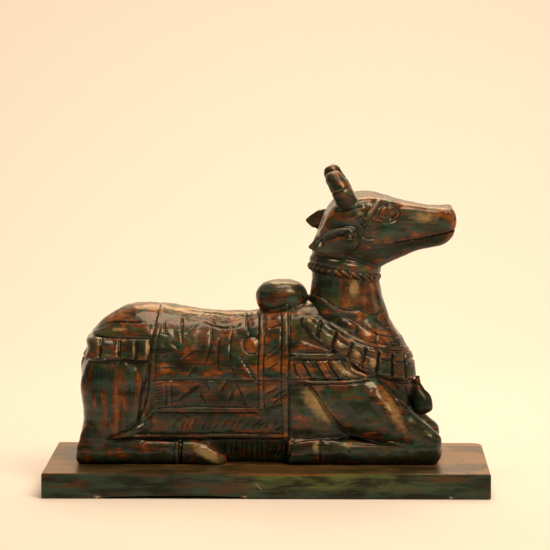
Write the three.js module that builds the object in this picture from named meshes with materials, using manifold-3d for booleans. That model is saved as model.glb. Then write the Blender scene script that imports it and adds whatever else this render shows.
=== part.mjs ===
// A reclining bull in temple dress, carved in wood and painted, on a plank plinth.
// Millimetres, +Z up, the bull faces +X, and the origin is under the middle of the plinth.

import * as THREE from "three";
import { mergeVertices } from "three/addons/utils/BufferGeometryUtils.js";
import Module from "manifold-3d";

const wasm = await Module();
wasm.setup();

// Plinth
const plinthLength = 450;
const plinthDepth = 210;
const plinthHeight = 26;
const plinthEdgeRadius = 2;
const wornCornerRadius = 12; // the back corner beside the knees
const wornHollowLength = 165; // where the lower front edge has worn away
const wornHollowRise = 3.5;
const wornHollowDepth = 9;
const wornHollowFromEnd = 137; // its middle, from the end of the plinth behind the rump
const seat = 0.3; // the joint between the figure and the plinth

// The figure is laid out on a carver's grid, gridLength squares from the rump to the muzzle. All its
// forms below are drawn in squares of that grid: x along the bull, z up, y out to its right flank.
const bullLength = 385;
const gridLength = 385;
const square = bullLength / gridLength;
const gridGround = 26.3; // the grid line that the figure lies on
const throughReach = 200; // beyond the figure's widest place on either side

// Relief, in squares of the grid, from the surface that carries it
const clothRelief = 2.2;
const borderRelief = 1.2;
const bandRelief = 2.6;
const blockRelief = 1.6;

// A smooth curve of one value through [position, value] pairs.
function spline(pairs) {
  const slope = (i) => {
    const a = pairs[Math.max(i - 1, 0)];
    const b = pairs[Math.min(i + 1, pairs.length - 1)];
    return (b[1] - a[1]) / (b[0] - a[0]);
  };
  return (at) => {
    if (at <= pairs[0][0]) return pairs[0][1];
    let i = pairs.findIndex((p) => p[0] > at) - 1;
    if (i < 0) return pairs[pairs.length - 1][1];
    const span = pairs[i + 1][0] - pairs[i][0];
    const t = (at - pairs[i][0]) / span;
    const t2 = t * t;
    const t3 = t2 * t;
    return (
      (2 * t3 - 3 * t2 + 1) * pairs[i][1] +
      (t3 - 2 * t2 + t) * span * slope(i) +
      (3 * t2 - 2 * t3) * pairs[i + 1][1] +
      (t3 - t2) * span * slope(i + 1)
    );
  };
}

// The point at an angle on a superellipse of unit size: power 2 is round, more is squarer.
function superellipse(angle, power) {
  const c = Math.cos(angle);
  const s = Math.sin(angle);
  const round = (v) => Math.sign(v) * Math.abs(v) ** (2 / power);
  return [round(c), round(s)];
}

// A closed geometry from rings of points, from the first ring to the last, with a pole at each end.
function ringsToGeometry(rings, firstPole, lastPole) {
  const sides = rings[0].length;
  const positions = [firstPole, ...rings.flat(), lastPole].flat();
  const index = [];
  const last = 1 + rings.length * sides;
  for (let i = 0; i < sides; i++) {
    const next = (i + 1) % sides;
    index.push(0, 1 + next, 1 + i);
    index.push(last, last - sides + i, last - sides + next);
    for (let r = 0; r + 1 < rings.length; r++) {
      const a = 1 + r * sides;
      const b = a + sides;
      index.push(a + i, a + next, b + next, a + i, b + next, b + i);
    }
  }
  const geometry = new THREE.BufferGeometry();
  geometry.setAttribute("position", new THREE.Float32BufferAttribute(positions, 3));
  geometry.setIndex(index);
  return geometry;
}

// Steps from 0 to 1 that crowd towards both ends, where a rounded end needs its rings.
function crowded(count) {
  return Array.from({ length: count }, (_, i) => (1 - Math.cos((Math.PI * (i + 0.45)) / (count - 0.1))) / 2);
}

// How much of its full section a form has near a rounded end, at a distance from that end.
function endRounding(distance, radius, power) {
  if (distance >= radius) return 1;
  return (1 - (1 - Math.max(distance, 0) / radius) ** power) ** (1 / power);
}

// A form whose sections stand across the x or z axis. high and low are the section's limits on the
// other axis of the figure's side view, and half is its half width across the figure.
function loft({ axis, from, to, high, low, half, topPower, lowPower, ends, rings, sides, grow = 0 }) {
  const [startRadius, endRadius, endPower] = ends;
  const place = (along, across, up) => (axis === "x" ? [along, across, up] : [up, -across, along]);
  const start = from - grow;
  const length = to - from + 2 * grow;
  const made = crowded(rings).map((t) => {
    const along = start + t * length;
    const size =
      endRounding(along - start, startRadius, endPower) *
      endRounding(start + length - along, endRadius, endPower);
    const middle = (high(along) + low(along)) / 2;
    const reach = (high(along) - low(along)) / 2 + grow;
    return Array.from({ length: sides }, (_, i) => {
      const angle = (2 * Math.PI * i) / sides;
      const [c, s] = superellipse(angle, angle < Math.PI ? topPower : lowPower);
      return place(along, c * (half(along) + grow) * size, middle + s * reach * size);
    });
  });
  const pole = (along) => place(along, 0, (high(along) + low(along)) / 2);
  return ringsToGeometry(made, pole(start), pole(start + length));
}

// A limb: sections square to a path, across the figure by wide and in its plane by deep.
function limb({ path, wide, deep, power = 2.4, ends, rings, sides }) {
  const curve = new THREE.CatmullRomCurve3(path.map((p) => new THREE.Vector3(...p)));
  const length = curve.getLength();
  const across = new THREE.Vector3();
  const up = new THREE.Vector3();
  const [startRadius, endRadius] = ends;
  const made = crowded(rings).map((t) => {
    const centre = curve.getPointAt(t);
    const tangent = curve.getTangentAt(t);
    across.set(0, 1, 0).addScaledVector(tangent, -tangent.y).normalize();
    up.crossVectors(tangent, across);
    const size = endRounding(t * length, startRadius, 2) * endRounding((1 - t) * length, endRadius, 2);
    return Array.from({ length: sides }, (_, i) => {
      const [c, s] = superellipse((2 * Math.PI * i) / sides, power);
      return centre
        .clone()
        .addScaledVector(across, c * wide(t) * size)
        .addScaledVector(up, s * deep(t) * size)
        .toArray();
    });
  });
  return ringsToGeometry(made, curve.getPointAt(0).toArray(), curve.getPointAt(1).toArray());
}

// A rounded lump of three half sizes.
function lump([x, y, z], halves, power, rings, sides) {
  const made = Array.from({ length: rings }, (_, r) => {
    const [along, size] = superellipse((Math.PI * (r + 1)) / (rings + 1), power);
    return Array.from({ length: sides }, (_, i) => {
      const [c, s] = superellipse((2 * Math.PI * i) / sides, power);
      return [x - along * halves[0], y + c * size * halves[1], z + s * size * halves[2]];
    });
  });
  const pole = (sign) => [x + sign * halves[0], y, z];
  return ringsToGeometry(made, pole(-1), pole(1));
}

// An outline drawn in the side view, as [x, z] points, run right through the figure.
function throughCut(outline) {
  const shape = new THREE.Shape(outline.map(([x, z]) => new THREE.Vector2(x, z)));
  const geometry = new THREE.ExtrudeGeometry(shape, { depth: 2 * throughReach, bevelEnabled: false });
  return geometry.rotateX(Math.PI / 2).translate(0, throughReach, 0);
}

// A three.js geometry as a solid that can be joined and cut.
function solid(geometry) {
  const bare = geometry.index ? geometry.toNonIndexed() : geometry.clone();
  bare.deleteAttribute("normal");
  bare.deleteAttribute("uv");
  const merged = mergeVertices(bare, 1e-4);
  return new wasm.Manifold(
    new wasm.Mesh({
      numProp: 3,
      vertProperties: merged.attributes.position.array,
      triVerts: new Uint32Array(merged.index.array),
    }),
  );
}

function joined(solids) {
  return wasm.Manifold.union(solids);
}

function geometryOf(made) {
  const mesh = made.getMesh();
  const geometry = new THREE.BufferGeometry();
  geometry.setAttribute("position", new THREE.BufferAttribute(mesh.vertProperties, 3));
  geometry.setIndex(new THREE.BufferAttribute(mesh.triVerts, 1));
  return geometry;
}

// The barrel of the body, from the rump to the breast.
const backLine = spline([
  [-192, 124], [-189, 142], [-180, 158], [-171, 168], [-155, 179.5], [-138, 186], [-122, 187],
  [-98, 184], [-65, 179], [-40, 177], [-16, 177], [0, 180], [20, 186], [41, 190.5], [60, 188],
  [80, 180], [100, 168], [120, 150], [136, 128], [147, 106],
]);
const barrelHalf = spline([
  [-192, 42], [-165, 46], [-130, 47.5], [-85, 46.5], [-40, 45], [0, 46], [45, 47], [85, 47],
  [115, 43], [147, 30],
]);
const bellyLine = () => 20; // just under the ground
const barrel = (grow) =>
  loft({
    axis: "x", from: -192, to: 147, high: backLine, low: bellyLine, half: barrelHalf,
    topPower: 2.5, lowPower: 3.6, ends: [20, 36, 3], rings: 19, sides: 18, grow,
  });

// The neck and breast, from the plinth up into the head.
const throatLine = spline([
  [24, 126], [60, 140], [88, 147], [107, 149.5], [128, 146], [143, 141], [156, 134], [170, 126],
  [190, 119], [205, 115.5], [222, 113.5], [245, 112], [266, 104],
]);
const napeLine = spline([
  [24, 46], [60, 36], [107, 26], [143, 30], [170, 37], [192, 42.5], [215, 45], [235, 45.5],
  [250, 47], [266, 54],
]);
const neckHalf = spline([
  [24, 34], [60, 40], [90, 45], [110, 46], [140, 43.5], [165, 39], [190, 33], [215, 29.5], [266, 28],
]);
const neck = (grow) =>
  loft({
    axis: "z", from: 24, to: 268, high: throatLine, low: napeLine, half: neckHalf,
    topPower: 2.3, lowPower: 2.2, ends: [4, 12, 2.5], rings: 14, sides: 16, grow,
  });

// The thighs, which the body and the band round the rump lie against.
const thighMiddle = [-154, 27, 80];
const thighHalves = [38.5, 26.5, 62];
function thigh(sign, grow) {
  const [x, y, z] = thighMiddle;
  return lump([x, sign * y, z], thighHalves.map((half) => half + grow), 3, 7, 12);
}

// Body, neck and thighs in one, or the same form grown all over to carry a layer of relief.
const core = (grow) => joined([barrel(grow), neck(grow), thigh(-1, grow), thigh(1, grow)].map(solid));

// Legs, folded on both sides. Each is drawn at its distance out from the middle of the figure.
const legOut = 40.5;

function hindShank(sign) {
  const y = sign * legOut;
  return limb({
    path: [[-195, y, 38], [-150, y, 38.5], [-100, y, 38.5], [-70, y, 37.5], [-42, y, 25]],
    wide: spline([[0, 13], [0.6, 12], [0.8, 12.5], [1, 10]]),
    deep: spline([[0, 12], [0.3, 13], [0.68, 12.6], [0.86, 12], [1, 7]]),
    power: 2.9, ends: [7, 8], rings: 12, sides: 10,
  });
}

function foreArm(sign) {
  const y = sign * legOut;
  return limb({
    path: [[55, y * 0.75, 118], [88, y * 0.92, 91], [125, y, 71], [155, y, 54], [176, y, 41]],
    wide: spline([[0, 15], [0.3, 15], [0.6, 14], [1, 12]]),
    deep: spline([[0, 34], [0.27, 36], [0.55, 25.5], [0.8, 16.5], [1, 11]]),
    power: 2.6, ends: [20, 9], rings: 9, sides: 12,
  });
}

function foreShank(sign) {
  const y = sign * legOut;
  return limb({
    path: [[20, y, 39], [60, y, 40], [110, y, 40], [150, y, 39], [178, y, 40]],
    wide: spline([[0, 11.5], [0.2, 13], [1, 13]]),
    deep: spline([[0, 13], [0.2, 14], [0.9, 14], [1, 13]]),
    power: 3, ends: [6, 9], rings: 9, sides: 10,
  });
}

// A raised ring around a folded leg, at the fetlock.
const hindFetlock = -85;
const foreFetlock = 53;
function fetlock(sign, x, halfWidth) {
  return lump([x, sign * legOut, 39.5], [halfWidth, 13.8, 15], 3.4, 2, 8);
}

const hump = () => lump([14.5, 0, 192.5], [26.6, 25, 18.2], 2.5, 7, 12);

// Head
const headPivot = [80, 0, 240];
const headRoll = 5; // degrees, the far side up
const headYaw = 3.5; // degrees, the muzzle away from the near side
const farEarLift = 11;
const mouthOutline = [
  [196, 259.5], [196, 262.5], [172, 257], [150, 253.2], [128, 250.6], [150, 251.6], [172, 254.6],
];
const browLine = spline([
  [50, 262], [57, 277], [66, 289.5], [74, 296.5], [89, 300], [104, 301.5], [120, 298], [136, 293.5],
  [156, 289], [176, 287], [188, 285.5], [193, 282],
]);
const jawLine = spline([
  [50, 248], [60, 236], [75, 226], [95, 220.5], [112, 222.5], [129, 231], [142, 237], [154, 241.5],
  [168, 244], [180, 247.5], [188, 254], [193, 263],
]);
const cheekHalf = spline([
  [50, 20], [62, 28], [78, 33], [98, 33.5], [115, 28.5], [135, 22], [155, 18.5], [172, 17.5],
  [184, 18.5], [193, 16],
]);

const skull = () =>
  loft({
    axis: "x", from: 50, to: 193, high: browLine, low: jawLine, half: cheekHalf,
    topPower: 3, lowPower: 2.2, ends: [16, 6, 2.6], rings: 15, sides: 14,
  });

function horn(sign) {
  return limb({
    path: [
      [82, sign * 17, 280], [77.5, sign * 23, 294], [73, sign * 25, 306], [67.5, sign * 20, 316],
      [64.5, sign * 13, 321],
    ],
    wide: spline([[0, 10], [0.5, 9.6], [1, 8]]),
    deep: spline([[0, 10.4], [0.5, 10], [1, 8.6]]),
    power: 2.1, ends: [1, 9], rings: 7, sides: 10,
  });
}

// A leaf that is hollow on its outer face and points back and down.
function ear(sign) {
  const lift = sign < 0 ? 0 : farEarLift;
  const leaf = limb({
    path: [[90, 31, 258], [78, 36, 255], [61, 40, 251], [43, 42, 247]].map(
      ([x, y, z]) => [x, sign * y, z + lift],
    ),
    wide: spline([[0, 7], [0.4, 7], [1, 3]]),
    deep: spline([[0, 10], [0.3, 12], [0.65, 10], [1, 3]]),
    power: 2.2, ends: [5, 10], rings: 7, sides: 10,
  });
  const scoop = lump([66, sign * 49, 250 + lift], [19, 9, 8], 2, 4, 8);
  return solid(leaf).subtract(solid(scoop));
}

function eye(sign) {
  const lid = lump([122, sign * 23.4, 282], [15.5, 3.6, 8.6], 2, 5, 10);
  const ball = lump([122.5, sign * 25, 281.5], [6, 3.4, 5.6], 2, 4, 8);
  return joined([solid(lid), solid(ball)]);
}

function head() {
  const lips = solid(throughCut(mouthOutline));
  const jaws = solid(lump([150, 0, 255], [36, 12, 20], 3, 4, 8)); // uncut, so that both lips stay joined
  const features = [-1, 1].flatMap((sign) => [solid(horn(sign)), ear(sign), eye(sign)]);
  return joined([solid(skull()).subtract(lips.subtract(jaws)), ...features])
    .translate(headPivot.map((v) => -v))
    .rotate([headRoll, 0, headYaw])
    .translate(headPivot);
}

// The plaited collar under the jaw, tilted down towards the throat: a ring whose section swells
// where the strands of the plait cross.
const collarCentre = [79, 0, 223.5];
const collarTilt = THREE.MathUtils.degToRad(14);
const collarLong = 33; // from its centre to the middle of the plait, along the bull
const collarWide = 28.5; // and across it
const plaitHalfThickness = 5;
const plaitHalfRise = 7.6;
const strandSwell = 0.12; // as a share of the plait

function collar() {
  const steps = 34;
  const sides = 6;
  const strands = 13;
  const twist = 2;
  const positions = [];
  const index = [];
  for (let i = 0; i < steps; i++) {
    const angle = (2 * Math.PI * i) / steps;
    for (let k = 0; k < sides; k++) {
      const around = (2 * Math.PI * k) / sides;
      const swell = 1 + strandSwell * Math.cos(strands * angle + twist * around);
      const out = plaitHalfThickness * swell * Math.cos(around);
      positions.push(
        (collarLong + out) * Math.cos(angle),
        (collarWide + out) * Math.sin(angle),
        plaitHalfRise * swell * Math.sin(around),
      );
      const [a, b] = [i * sides + k, i * sides + ((k + 1) % sides)];
      const [c, d] = [a, b].map((v) => (v + sides) % (steps * sides));
      index.push(a, c, b, b, c, d);
    }
  }
  const ring = new THREE.BufferGeometry();
  ring.setAttribute("position", new THREE.Float32BufferAttribute(positions, 3));
  ring.setIndex(index);
  return solid(ring.rotateY(collarTilt).translate(...collarCentre));
}

// Cloth, straps and garlands: outlines in the side view, raised over the body that carries them.
const overBack = 230; // above the back, where an outline that goes right over it is closed
const clothBack = -118;
const clothFront = 21.5;
const clothHem = 53.5;
const clothSeam = 112; // where the upper panel meets the lower one
const borderBack = -9; // the broad border beside the foreleg
const beadWidth = 5;

const rectangle = (x0, x1, z0, z1) => [[x0, z0], [x1, z0], [x1, z1], [x0, z1]];

function raised(outline, relief) {
  return core(relief).intersect(solid(throughCut(outline)));
}

function saddleCloth() {
  const cloth = raised(rectangle(clothBack, clothFront, clothHem, overBack), clothRelief);
  const stripHigh = 83.5; // the strip between the hem and the lower panel
  const panelBack = -100;
  const beads = [
    rectangle(borderBack, borderBack + beadWidth, clothHem, overBack),
    rectangle(clothFront - 8, clothFront, clothHem, overBack),
    rectangle(clothBack, borderBack, clothHem, clothHem + beadWidth),
    rectangle(panelBack, borderBack, stripHigh - beadWidth, stripHigh),
    rectangle(panelBack, panelBack + beadWidth, stripHigh, clothSeam),
  ];
  const grown = core(clothRelief + borderRelief);
  return joined([cloth, ...beads.map((bead) => grown.intersect(solid(throughCut(bead))))]);
}

// The band of square blocks round the rump, from the back edge of the saddle cloth.
function rumpBand() {
  const low = 131.5;
  const high = 154;
  const pitch = 15.4;
  const groove = 3.5;
  const behind = -210;
  const band = raised(rectangle(behind, clothBack, low, high), bandRelief);
  const grown = core(bandRelief + blockRelief);
  const blocks = Array.from({ length: 5 }, (_, i) => {
    const end = clothBack - i * pitch - groove / 2;
    return rectangle(end - pitch + groove, end, low + 1, high - 1.5);
  });
  return joined([band, ...blocks.map((block) => grown.intersect(solid(throughCut(block))))]);
}

// The garland of blocks that hangs from the nape to the breast.
const garlandLow = spline([
  [18, 182], [39, 167], [67, 144], [94, 128], [113, 117], [132, 110], [150, 106], [170, 105],
]);
const garlandHigh = spline([
  [18, 194], [45, 180], [70, 163.5], [85, 156], [101, 149], [123, 143], [142, 139.5], [170, 138],
]);

// A stretch of the garland, between two shares of its height.
function garlandOutline(from, to, steps, lowShare, highShare) {
  const point = (x, share) => [x, garlandLow(x) + share * (garlandHigh(x) - garlandLow(x))];
  const across = Array.from({ length: steps + 1 }, (_, i) => from + ((to - from) * i) / steps);
  return [...across.map((x) => point(x, lowShare)), ...across.reverse().map((x) => point(x, highShare))];
}

function garland() {
  const start = 34;
  const end = 170;
  const pitch = 13.6;
  const width = 9.5;
  const band = raised(garlandOutline(start, end, 10, 0, 1), bandRelief);
  const grown = core(bandRelief + blockRelief);
  const blocks = Array.from({ length: 8 }, (_, i) => {
    const x = start + 4 + pitch * i;
    return garlandOutline(x, x + width, 1, 0.06, 0.6);
  });
  return joined([band, ...blocks.map((block) => grown.intersect(solid(throughCut(block))))]);
}

// Two straps on the flank in front of the saddle cloth, with a row of slanted leaves between them.
function sideStrap() {
  const upperLow = 134.5;
  const lowerHigh = 113.5;
  const upper = raised(rectangle(25, 80, upperLow, upperLow + 5), bandRelief);
  const lower = raised(rectangle(44, 112, lowerHigh - 3.5, lowerHigh), bandRelief);
  const leafPitch = 11.4;
  const leafWidth = 10;
  const lean = 8;
  const leaves = Array.from({ length: 6 }, (_, i) => {
    const x = 31 + leafPitch * i;
    const high = upperLow - 1.5 - 1.6 * i; // each a little shorter than the one before
    const leaf = [[x + lean, lowerHigh], [x + lean + leafWidth, lowerHigh], [x + leafWidth, high], [x, high]];
    return raised(leaf, bandRelief);
  });
  return joined([upper, lower, ...leaves]);
}

// The bell on the breast, with its crown, the knob above it and the knot that it hangs from.
function bell() {
  const drop = lump([158.5, 0, 85], [10.2, 10, 12.5], 2.1, 5, 10);
  const crown = lump([152, 0, 97], [9, 6.5, 7], 2, 4, 8);
  const knob = lump([153, 0, 104], [5, 4.4, 3.8], 2, 3, 6);
  return joined([drop, crown, knob].map(solid));
}

// The tail hangs down the rump and curls round to the near hock.
function tail() {
  return limb({
    path: [
      [-172, 0, 158], [-187.5, 1, 138], [-190, 3, 100], [-189.5, 10, 66], [-190, 24, 44], [-191, 36, 36],
    ],
    wide: spline([[0, 8], [0.6, 5.5], [0.85, 7.5], [1, 4]]),
    deep: spline([[0, 5], [0.6, 4.5], [0.85, 5.5], [1, 4]]),
    ends: [4, 4], rings: 8, sides: 8,
  });
}

function bull() {
  const legs = [-1, 1].flatMap((sign) => [
    hindShank(sign),
    foreArm(sign),
    foreShank(sign),
    fetlock(sign, hindFetlock, 2),
    fetlock(sign, foreFetlock, 5),
  ]);
  const body = joined([core(0), ...[...legs, hump(), tail()].map(solid), head(), collar(), bell()]);
  const dress = joined([saddleCloth(), rumpBand(), garland(), sideStrap()]);
  const groundDepth = 60;
  const ground = new THREE.BoxGeometry(2 * gridLength, 2 * throughReach, groundDepth);
  ground.translate(0, 0, gridGround - groundDepth / 2);
  return geometryOf(joined([body, dress]).subtract(solid(ground)))
    .translate(0, 0, -gridGround)
    .scale(square, square, square)
    .translate(0, 0, plinthHeight + seat);
}

// A plank with eased edges, one back corner worn round and its lower front edge worn hollow.
function plinth() {
  const l = plinthLength / 2;
  const d = plinthDepth / 2;
  const e = plinthEdgeRadius;
  const plan = new THREE.Shape();
  plan.moveTo(-l + e, -d + e);
  plan.lineTo(l - e, -d + e);
  plan.lineTo(l - e, d - wornCornerRadius);
  plan.absarc(l - wornCornerRadius, d - wornCornerRadius, wornCornerRadius - e, 0, Math.PI / 2);
  plan.lineTo(-l + e, d - e);
  plan.closePath();
  const board = new THREE.ExtrudeGeometry(plan, {
    depth: plinthHeight - 2 * e, bevelSize: e, bevelThickness: e, bevelSegments: 2, curveSegments: 5,
  });
  board.translate(0, 0, e);
  const wornMiddle = [wornHollowFromEnd - l, -d, 0];
  const worn = lump(wornMiddle, [wornHollowLength / 2, wornHollowDepth, wornHollowRise], 2, 8, 16);
  return geometryOf(solid(board).subtract(solid(worn)));
}

function painted(name, geometry, color) {
  const material = new THREE.MeshStandardMaterial({ color, roughness: 0.45, metalness: 0 });
  const mesh = new THREE.Mesh(geometry, material);
  mesh.name = name;
  return mesh;
}

const group = new THREE.Group();
group.add(painted("plinth", plinth(), 0x2e332a), painted("bull", bull(), 0x3a3226));

export default group;
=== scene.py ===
# %% [markdown]
# # A reclining temple bull, carved and painted
#
# The figure is a nandi, the bull that lies before a shrine, about 450 mm long on its plank plinth.
# It is wood, cut with gouges and a V-tool, painted dark green and black over copper brown and
# rubbed back. The construction model gives its true size and main forms. This lesson carves the
# fine surface over those forms and gives it the rubbed paint.

import math

import bpy
import numpy as np
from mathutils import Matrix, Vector


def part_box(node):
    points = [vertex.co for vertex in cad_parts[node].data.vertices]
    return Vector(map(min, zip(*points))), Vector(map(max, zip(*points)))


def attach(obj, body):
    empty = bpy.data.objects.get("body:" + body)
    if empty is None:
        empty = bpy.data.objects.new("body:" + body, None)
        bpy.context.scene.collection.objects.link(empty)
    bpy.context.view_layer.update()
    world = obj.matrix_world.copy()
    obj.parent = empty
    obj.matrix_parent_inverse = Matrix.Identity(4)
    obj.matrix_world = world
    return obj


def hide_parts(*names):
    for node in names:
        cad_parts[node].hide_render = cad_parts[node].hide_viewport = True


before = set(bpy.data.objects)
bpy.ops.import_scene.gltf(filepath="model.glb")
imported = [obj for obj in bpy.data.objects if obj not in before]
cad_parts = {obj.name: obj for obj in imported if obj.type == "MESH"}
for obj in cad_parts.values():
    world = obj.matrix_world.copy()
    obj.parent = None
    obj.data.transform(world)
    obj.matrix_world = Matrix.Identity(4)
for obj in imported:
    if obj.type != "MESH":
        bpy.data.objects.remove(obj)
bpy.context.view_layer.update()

# %% [markdown]
# ## Where the camera stands
#
# The figure is seen from its right flank, a little from above and from far off, so its verticals
# stay almost upright. A long lens at the real distance gives that flat view. The camera comes first,
# because each carved line is compared with the real one from there.

# %% The camera
camera_place = (0.0636, -3.3439, 0.5470)
camera_pitch, camera_yaw = math.radians(-5.666), math.radians(0.963)
lens_mm, sensor_mm, sight = 214.4, 36, 20

camera = bpy.data.objects.new("camera", bpy.data.cameras.new("camera"))
camera.location = camera_place
camera.rotation_euler = (math.pi / 2 + camera_pitch, 0, camera_yaw)
camera.data.lens = lens_mm
camera.data.sensor_width = sensor_mm
camera.data.clip_end = sight
bpy.context.scene.collection.objects.link(camera)
bpy.context.scene.camera = camera

# %% [markdown]
# ## Curves and sections
#
# A carver works from a side view on the block and from a few sections. The same is done here:
# a curve through a few points gives each edge of the side view, and a superellipse, which is a
# circle squared off by a power, gives each section. Both work on whole arrays at once.

# %% Curves through a few points
def spline(pairs):
    """Smooth curve of one value through (position, value) pairs: a cubic between each two pairs,
    whose slope at a pair is that of the chord between the pair's neighbours."""
    at, value = np.array(pairs, float).T
    before = np.maximum(np.arange(len(at)) - 1, 0)
    after = np.minimum(np.arange(len(at)) + 1, len(at) - 1)
    slope = (value[after] - value[before]) / (at[after] - at[before])

    def curve(x):
        x = np.clip(x, at[0], at[-1])
        i = np.clip(np.searchsorted(at, x, side="right") - 1, 0, len(at) - 2)
        span = at[i + 1] - at[i]
        t = (x - at[i]) / span
        return (
            (2 * t**3 - 3 * t**2 + 1) * value[i]
            + (t**3 - 2 * t**2 + t) * span * slope[i]
            + (3 * t**2 - 2 * t**3) * value[i + 1]
            + (t**3 - t**2) * span * slope[i + 1]
        )

    return curve


def superellipse(angle, power):
    """Point at an angle on a unit circle whose cosine and sine are raised to 2 over the power."""
    c, s = np.cos(angle), np.sin(angle)
    return np.sign(c) * np.abs(c) ** (2 / power), np.sign(s) * np.abs(s) ** (2 / power)


def crowded(count):
    """Steps from 0 to 1 that crowd towards both ends, where a rounded end needs its rings."""
    return (1 - np.cos(np.pi * (np.arange(count) + 0.45) / (count - 0.1))) / 2


def end_rounding(distance, radius, power):
    """Share of the full section at a distance from a rounded end: a quarter superellipse."""
    inside = 1 - np.clip(distance, 0, radius) / radius
    return (1 - inside**power) ** (1 / power)


def spin(a, b, angle):
    """Two coordinates turned in their plane by an angle, with its cosine and sine."""
    c, s = math.cos(angle), math.sin(angle)
    return a * c - b * s, a * s + b * c


# %% [markdown]
# ## Forms from rings
#
# Every main form is a grid of points: one row for each ring, one column for each place round it.
# A pole closes each end. The forms overlap, as the masses of a body do, and are fused afterwards.

# %% Closed forms from rings of points
def closed_form(rings, first_pole, last_pole):
    """Points and triangles of a form whose rings are an array (ring, place, xyz)."""
    count, sides = rings.shape[:2]
    points = np.vstack([[first_pole], rings.reshape(-1, 3), [last_pole]])
    ring = 1 + sides * np.arange(count)[:, None] + np.arange(sides)
    turned = np.roll(ring, -1, axis=1)
    a, b, c, d = ring[:-1], turned[:-1], turned[1:], ring[1:]
    walls = np.concatenate([np.stack([a, b, c], -1), np.stack([a, c, d], -1)]).reshape(-1, 3)
    last = len(points) - 1
    near = np.stack([np.zeros(sides, int), turned[0], ring[0]], -1)
    far = np.stack([np.full(sides, last), ring[-1], turned[-1]], -1)
    return points, np.concatenate([walls, near, far])


def loft(axis, start, end, high, low, half, top_power, low_power, ends, rings=120, sides=96):
    """Sections across x or z. high and low bound each in the side view, and half is its half width.
    ends holds the length of the rounding at the start and at the end, and its power."""
    along = start + crowded(rings)[:, None] * (end - start)
    size = end_rounding(along - start, ends[0], ends[2]) * end_rounding(end - along, ends[1], ends[2])
    angle = 2 * np.pi * np.arange(sides) / sides
    power = np.where(angle < np.pi, top_power, low_power)
    c, s = superellipse(angle, power)
    middle, reach = (high(along) + low(along)) / 2, (high(along) - low(along)) / 2
    across, up = c * half(along) * size, middle + s * reach * size
    along = np.broadcast_to(along, up.shape)
    order = (along, across, up) if axis == "x" else (up, -across, along)
    centre = lambda t: (high(t) + low(t)) / 2
    pole = lambda t: (t, 0, centre(t)) if axis == "x" else (centre(t), 0, t)
    return closed_form(np.stack(order, -1), pole(start), pole(end))


def lump(centre, halves, power, rings=48, sides=64):
    """A superellipsoid: superellipse sections across x, sized by a superellipse along x."""
    along, size = superellipse(np.pi * (np.arange(rings) + 1) / (rings + 1), power)
    c, s = superellipse(2 * np.pi * np.arange(sides) / sides, power)
    along = np.broadcast_to(-along[:, None], (rings, sides))
    unit = np.stack([along, c * size[:, None], s * size[:, None]], -1)
    centre, halves = np.array(centre, float), np.array(halves, float)
    tip = np.array([halves[0], 0, 0])
    return closed_form(centre + unit * halves, centre - tip, centre + tip)


def knots_of(path):
    """Distances from the path's start to each of its points, straight from point to point."""
    return np.r_[0, np.cumsum(np.linalg.norm(np.diff(path, axis=0), axis=1))]


def curved(path, at):
    """Points at the distances at on the smooth curve through a path."""
    knots = knots_of(path)
    return np.stack([spline(np.stack([knots, column], 1))(at) for column in path.T], -1)


def path_frame(path, steps, fine_steps=400):
    """Evenly spaced points on a smooth curve through the path, with the tangent there, the
    direction across the figure made square to it, and the direction square to both."""
    path = np.array(path, float)
    points = curved(path, np.linspace(0, knots_of(path)[-1], fine_steps))
    length = knots_of(points)
    at = steps * length[-1]
    centre = np.stack([np.interp(at, length, column) for column in points.T], -1)
    slopes = np.gradient(points, length, axis=0)
    tangent = np.stack([np.interp(at, length, column) for column in slopes.T], -1)
    tangent /= np.linalg.norm(tangent, axis=1)[:, None]
    across = np.array([0, 1, 0]) - tangent * tangent[:, 1:2]
    across /= np.linalg.norm(across, axis=1)[:, None]
    return centre, across, np.cross(tangent, across), length[-1]


def limb(path, wide, deep, power, ends, rings=90, sides=56, dent=None):
    """Superellipse sections square to a path: half widths wide across the figure and deep in its
    plane, as (share of the path, value) pairs. ends holds the rounding's length at both ends. dent,
    if given, takes the share and the angle and pushes the section in by its value."""
    steps = crowded(rings)
    centre, across, up, length = path_frame(path, steps)
    size = end_rounding(steps * length, ends[0], 2) * end_rounding((1 - steps) * length, ends[1], 2)
    angle = 2 * np.pi * np.arange(sides) / sides
    c, s = superellipse(angle, power)
    out = c * (spline(wide)(steps) * size)[:, None]
    rise = s * (spline(deep)(steps) * size)[:, None]
    if dent is not None:
        out = out - dent(steps[:, None], angle)
    made = centre[:, None] + out[..., None] * across[:, None] + rise[..., None] * up[:, None]
    ends_at = path_frame(path, np.array([0.0, 1.0]))[0]
    return closed_form(made, ends_at[0], ends_at[1])


# %% [markdown]
# ## The main masses
#
# The body is a long barrel, the neck stands up out of it, and the thighs lie against it. The figure
# is drawn on a carver's grid in millimetres: 385 from the rump to the muzzle, x along the bull, z up.
# These are the same masses as in the construction model, so the finished carving fits it.

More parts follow.
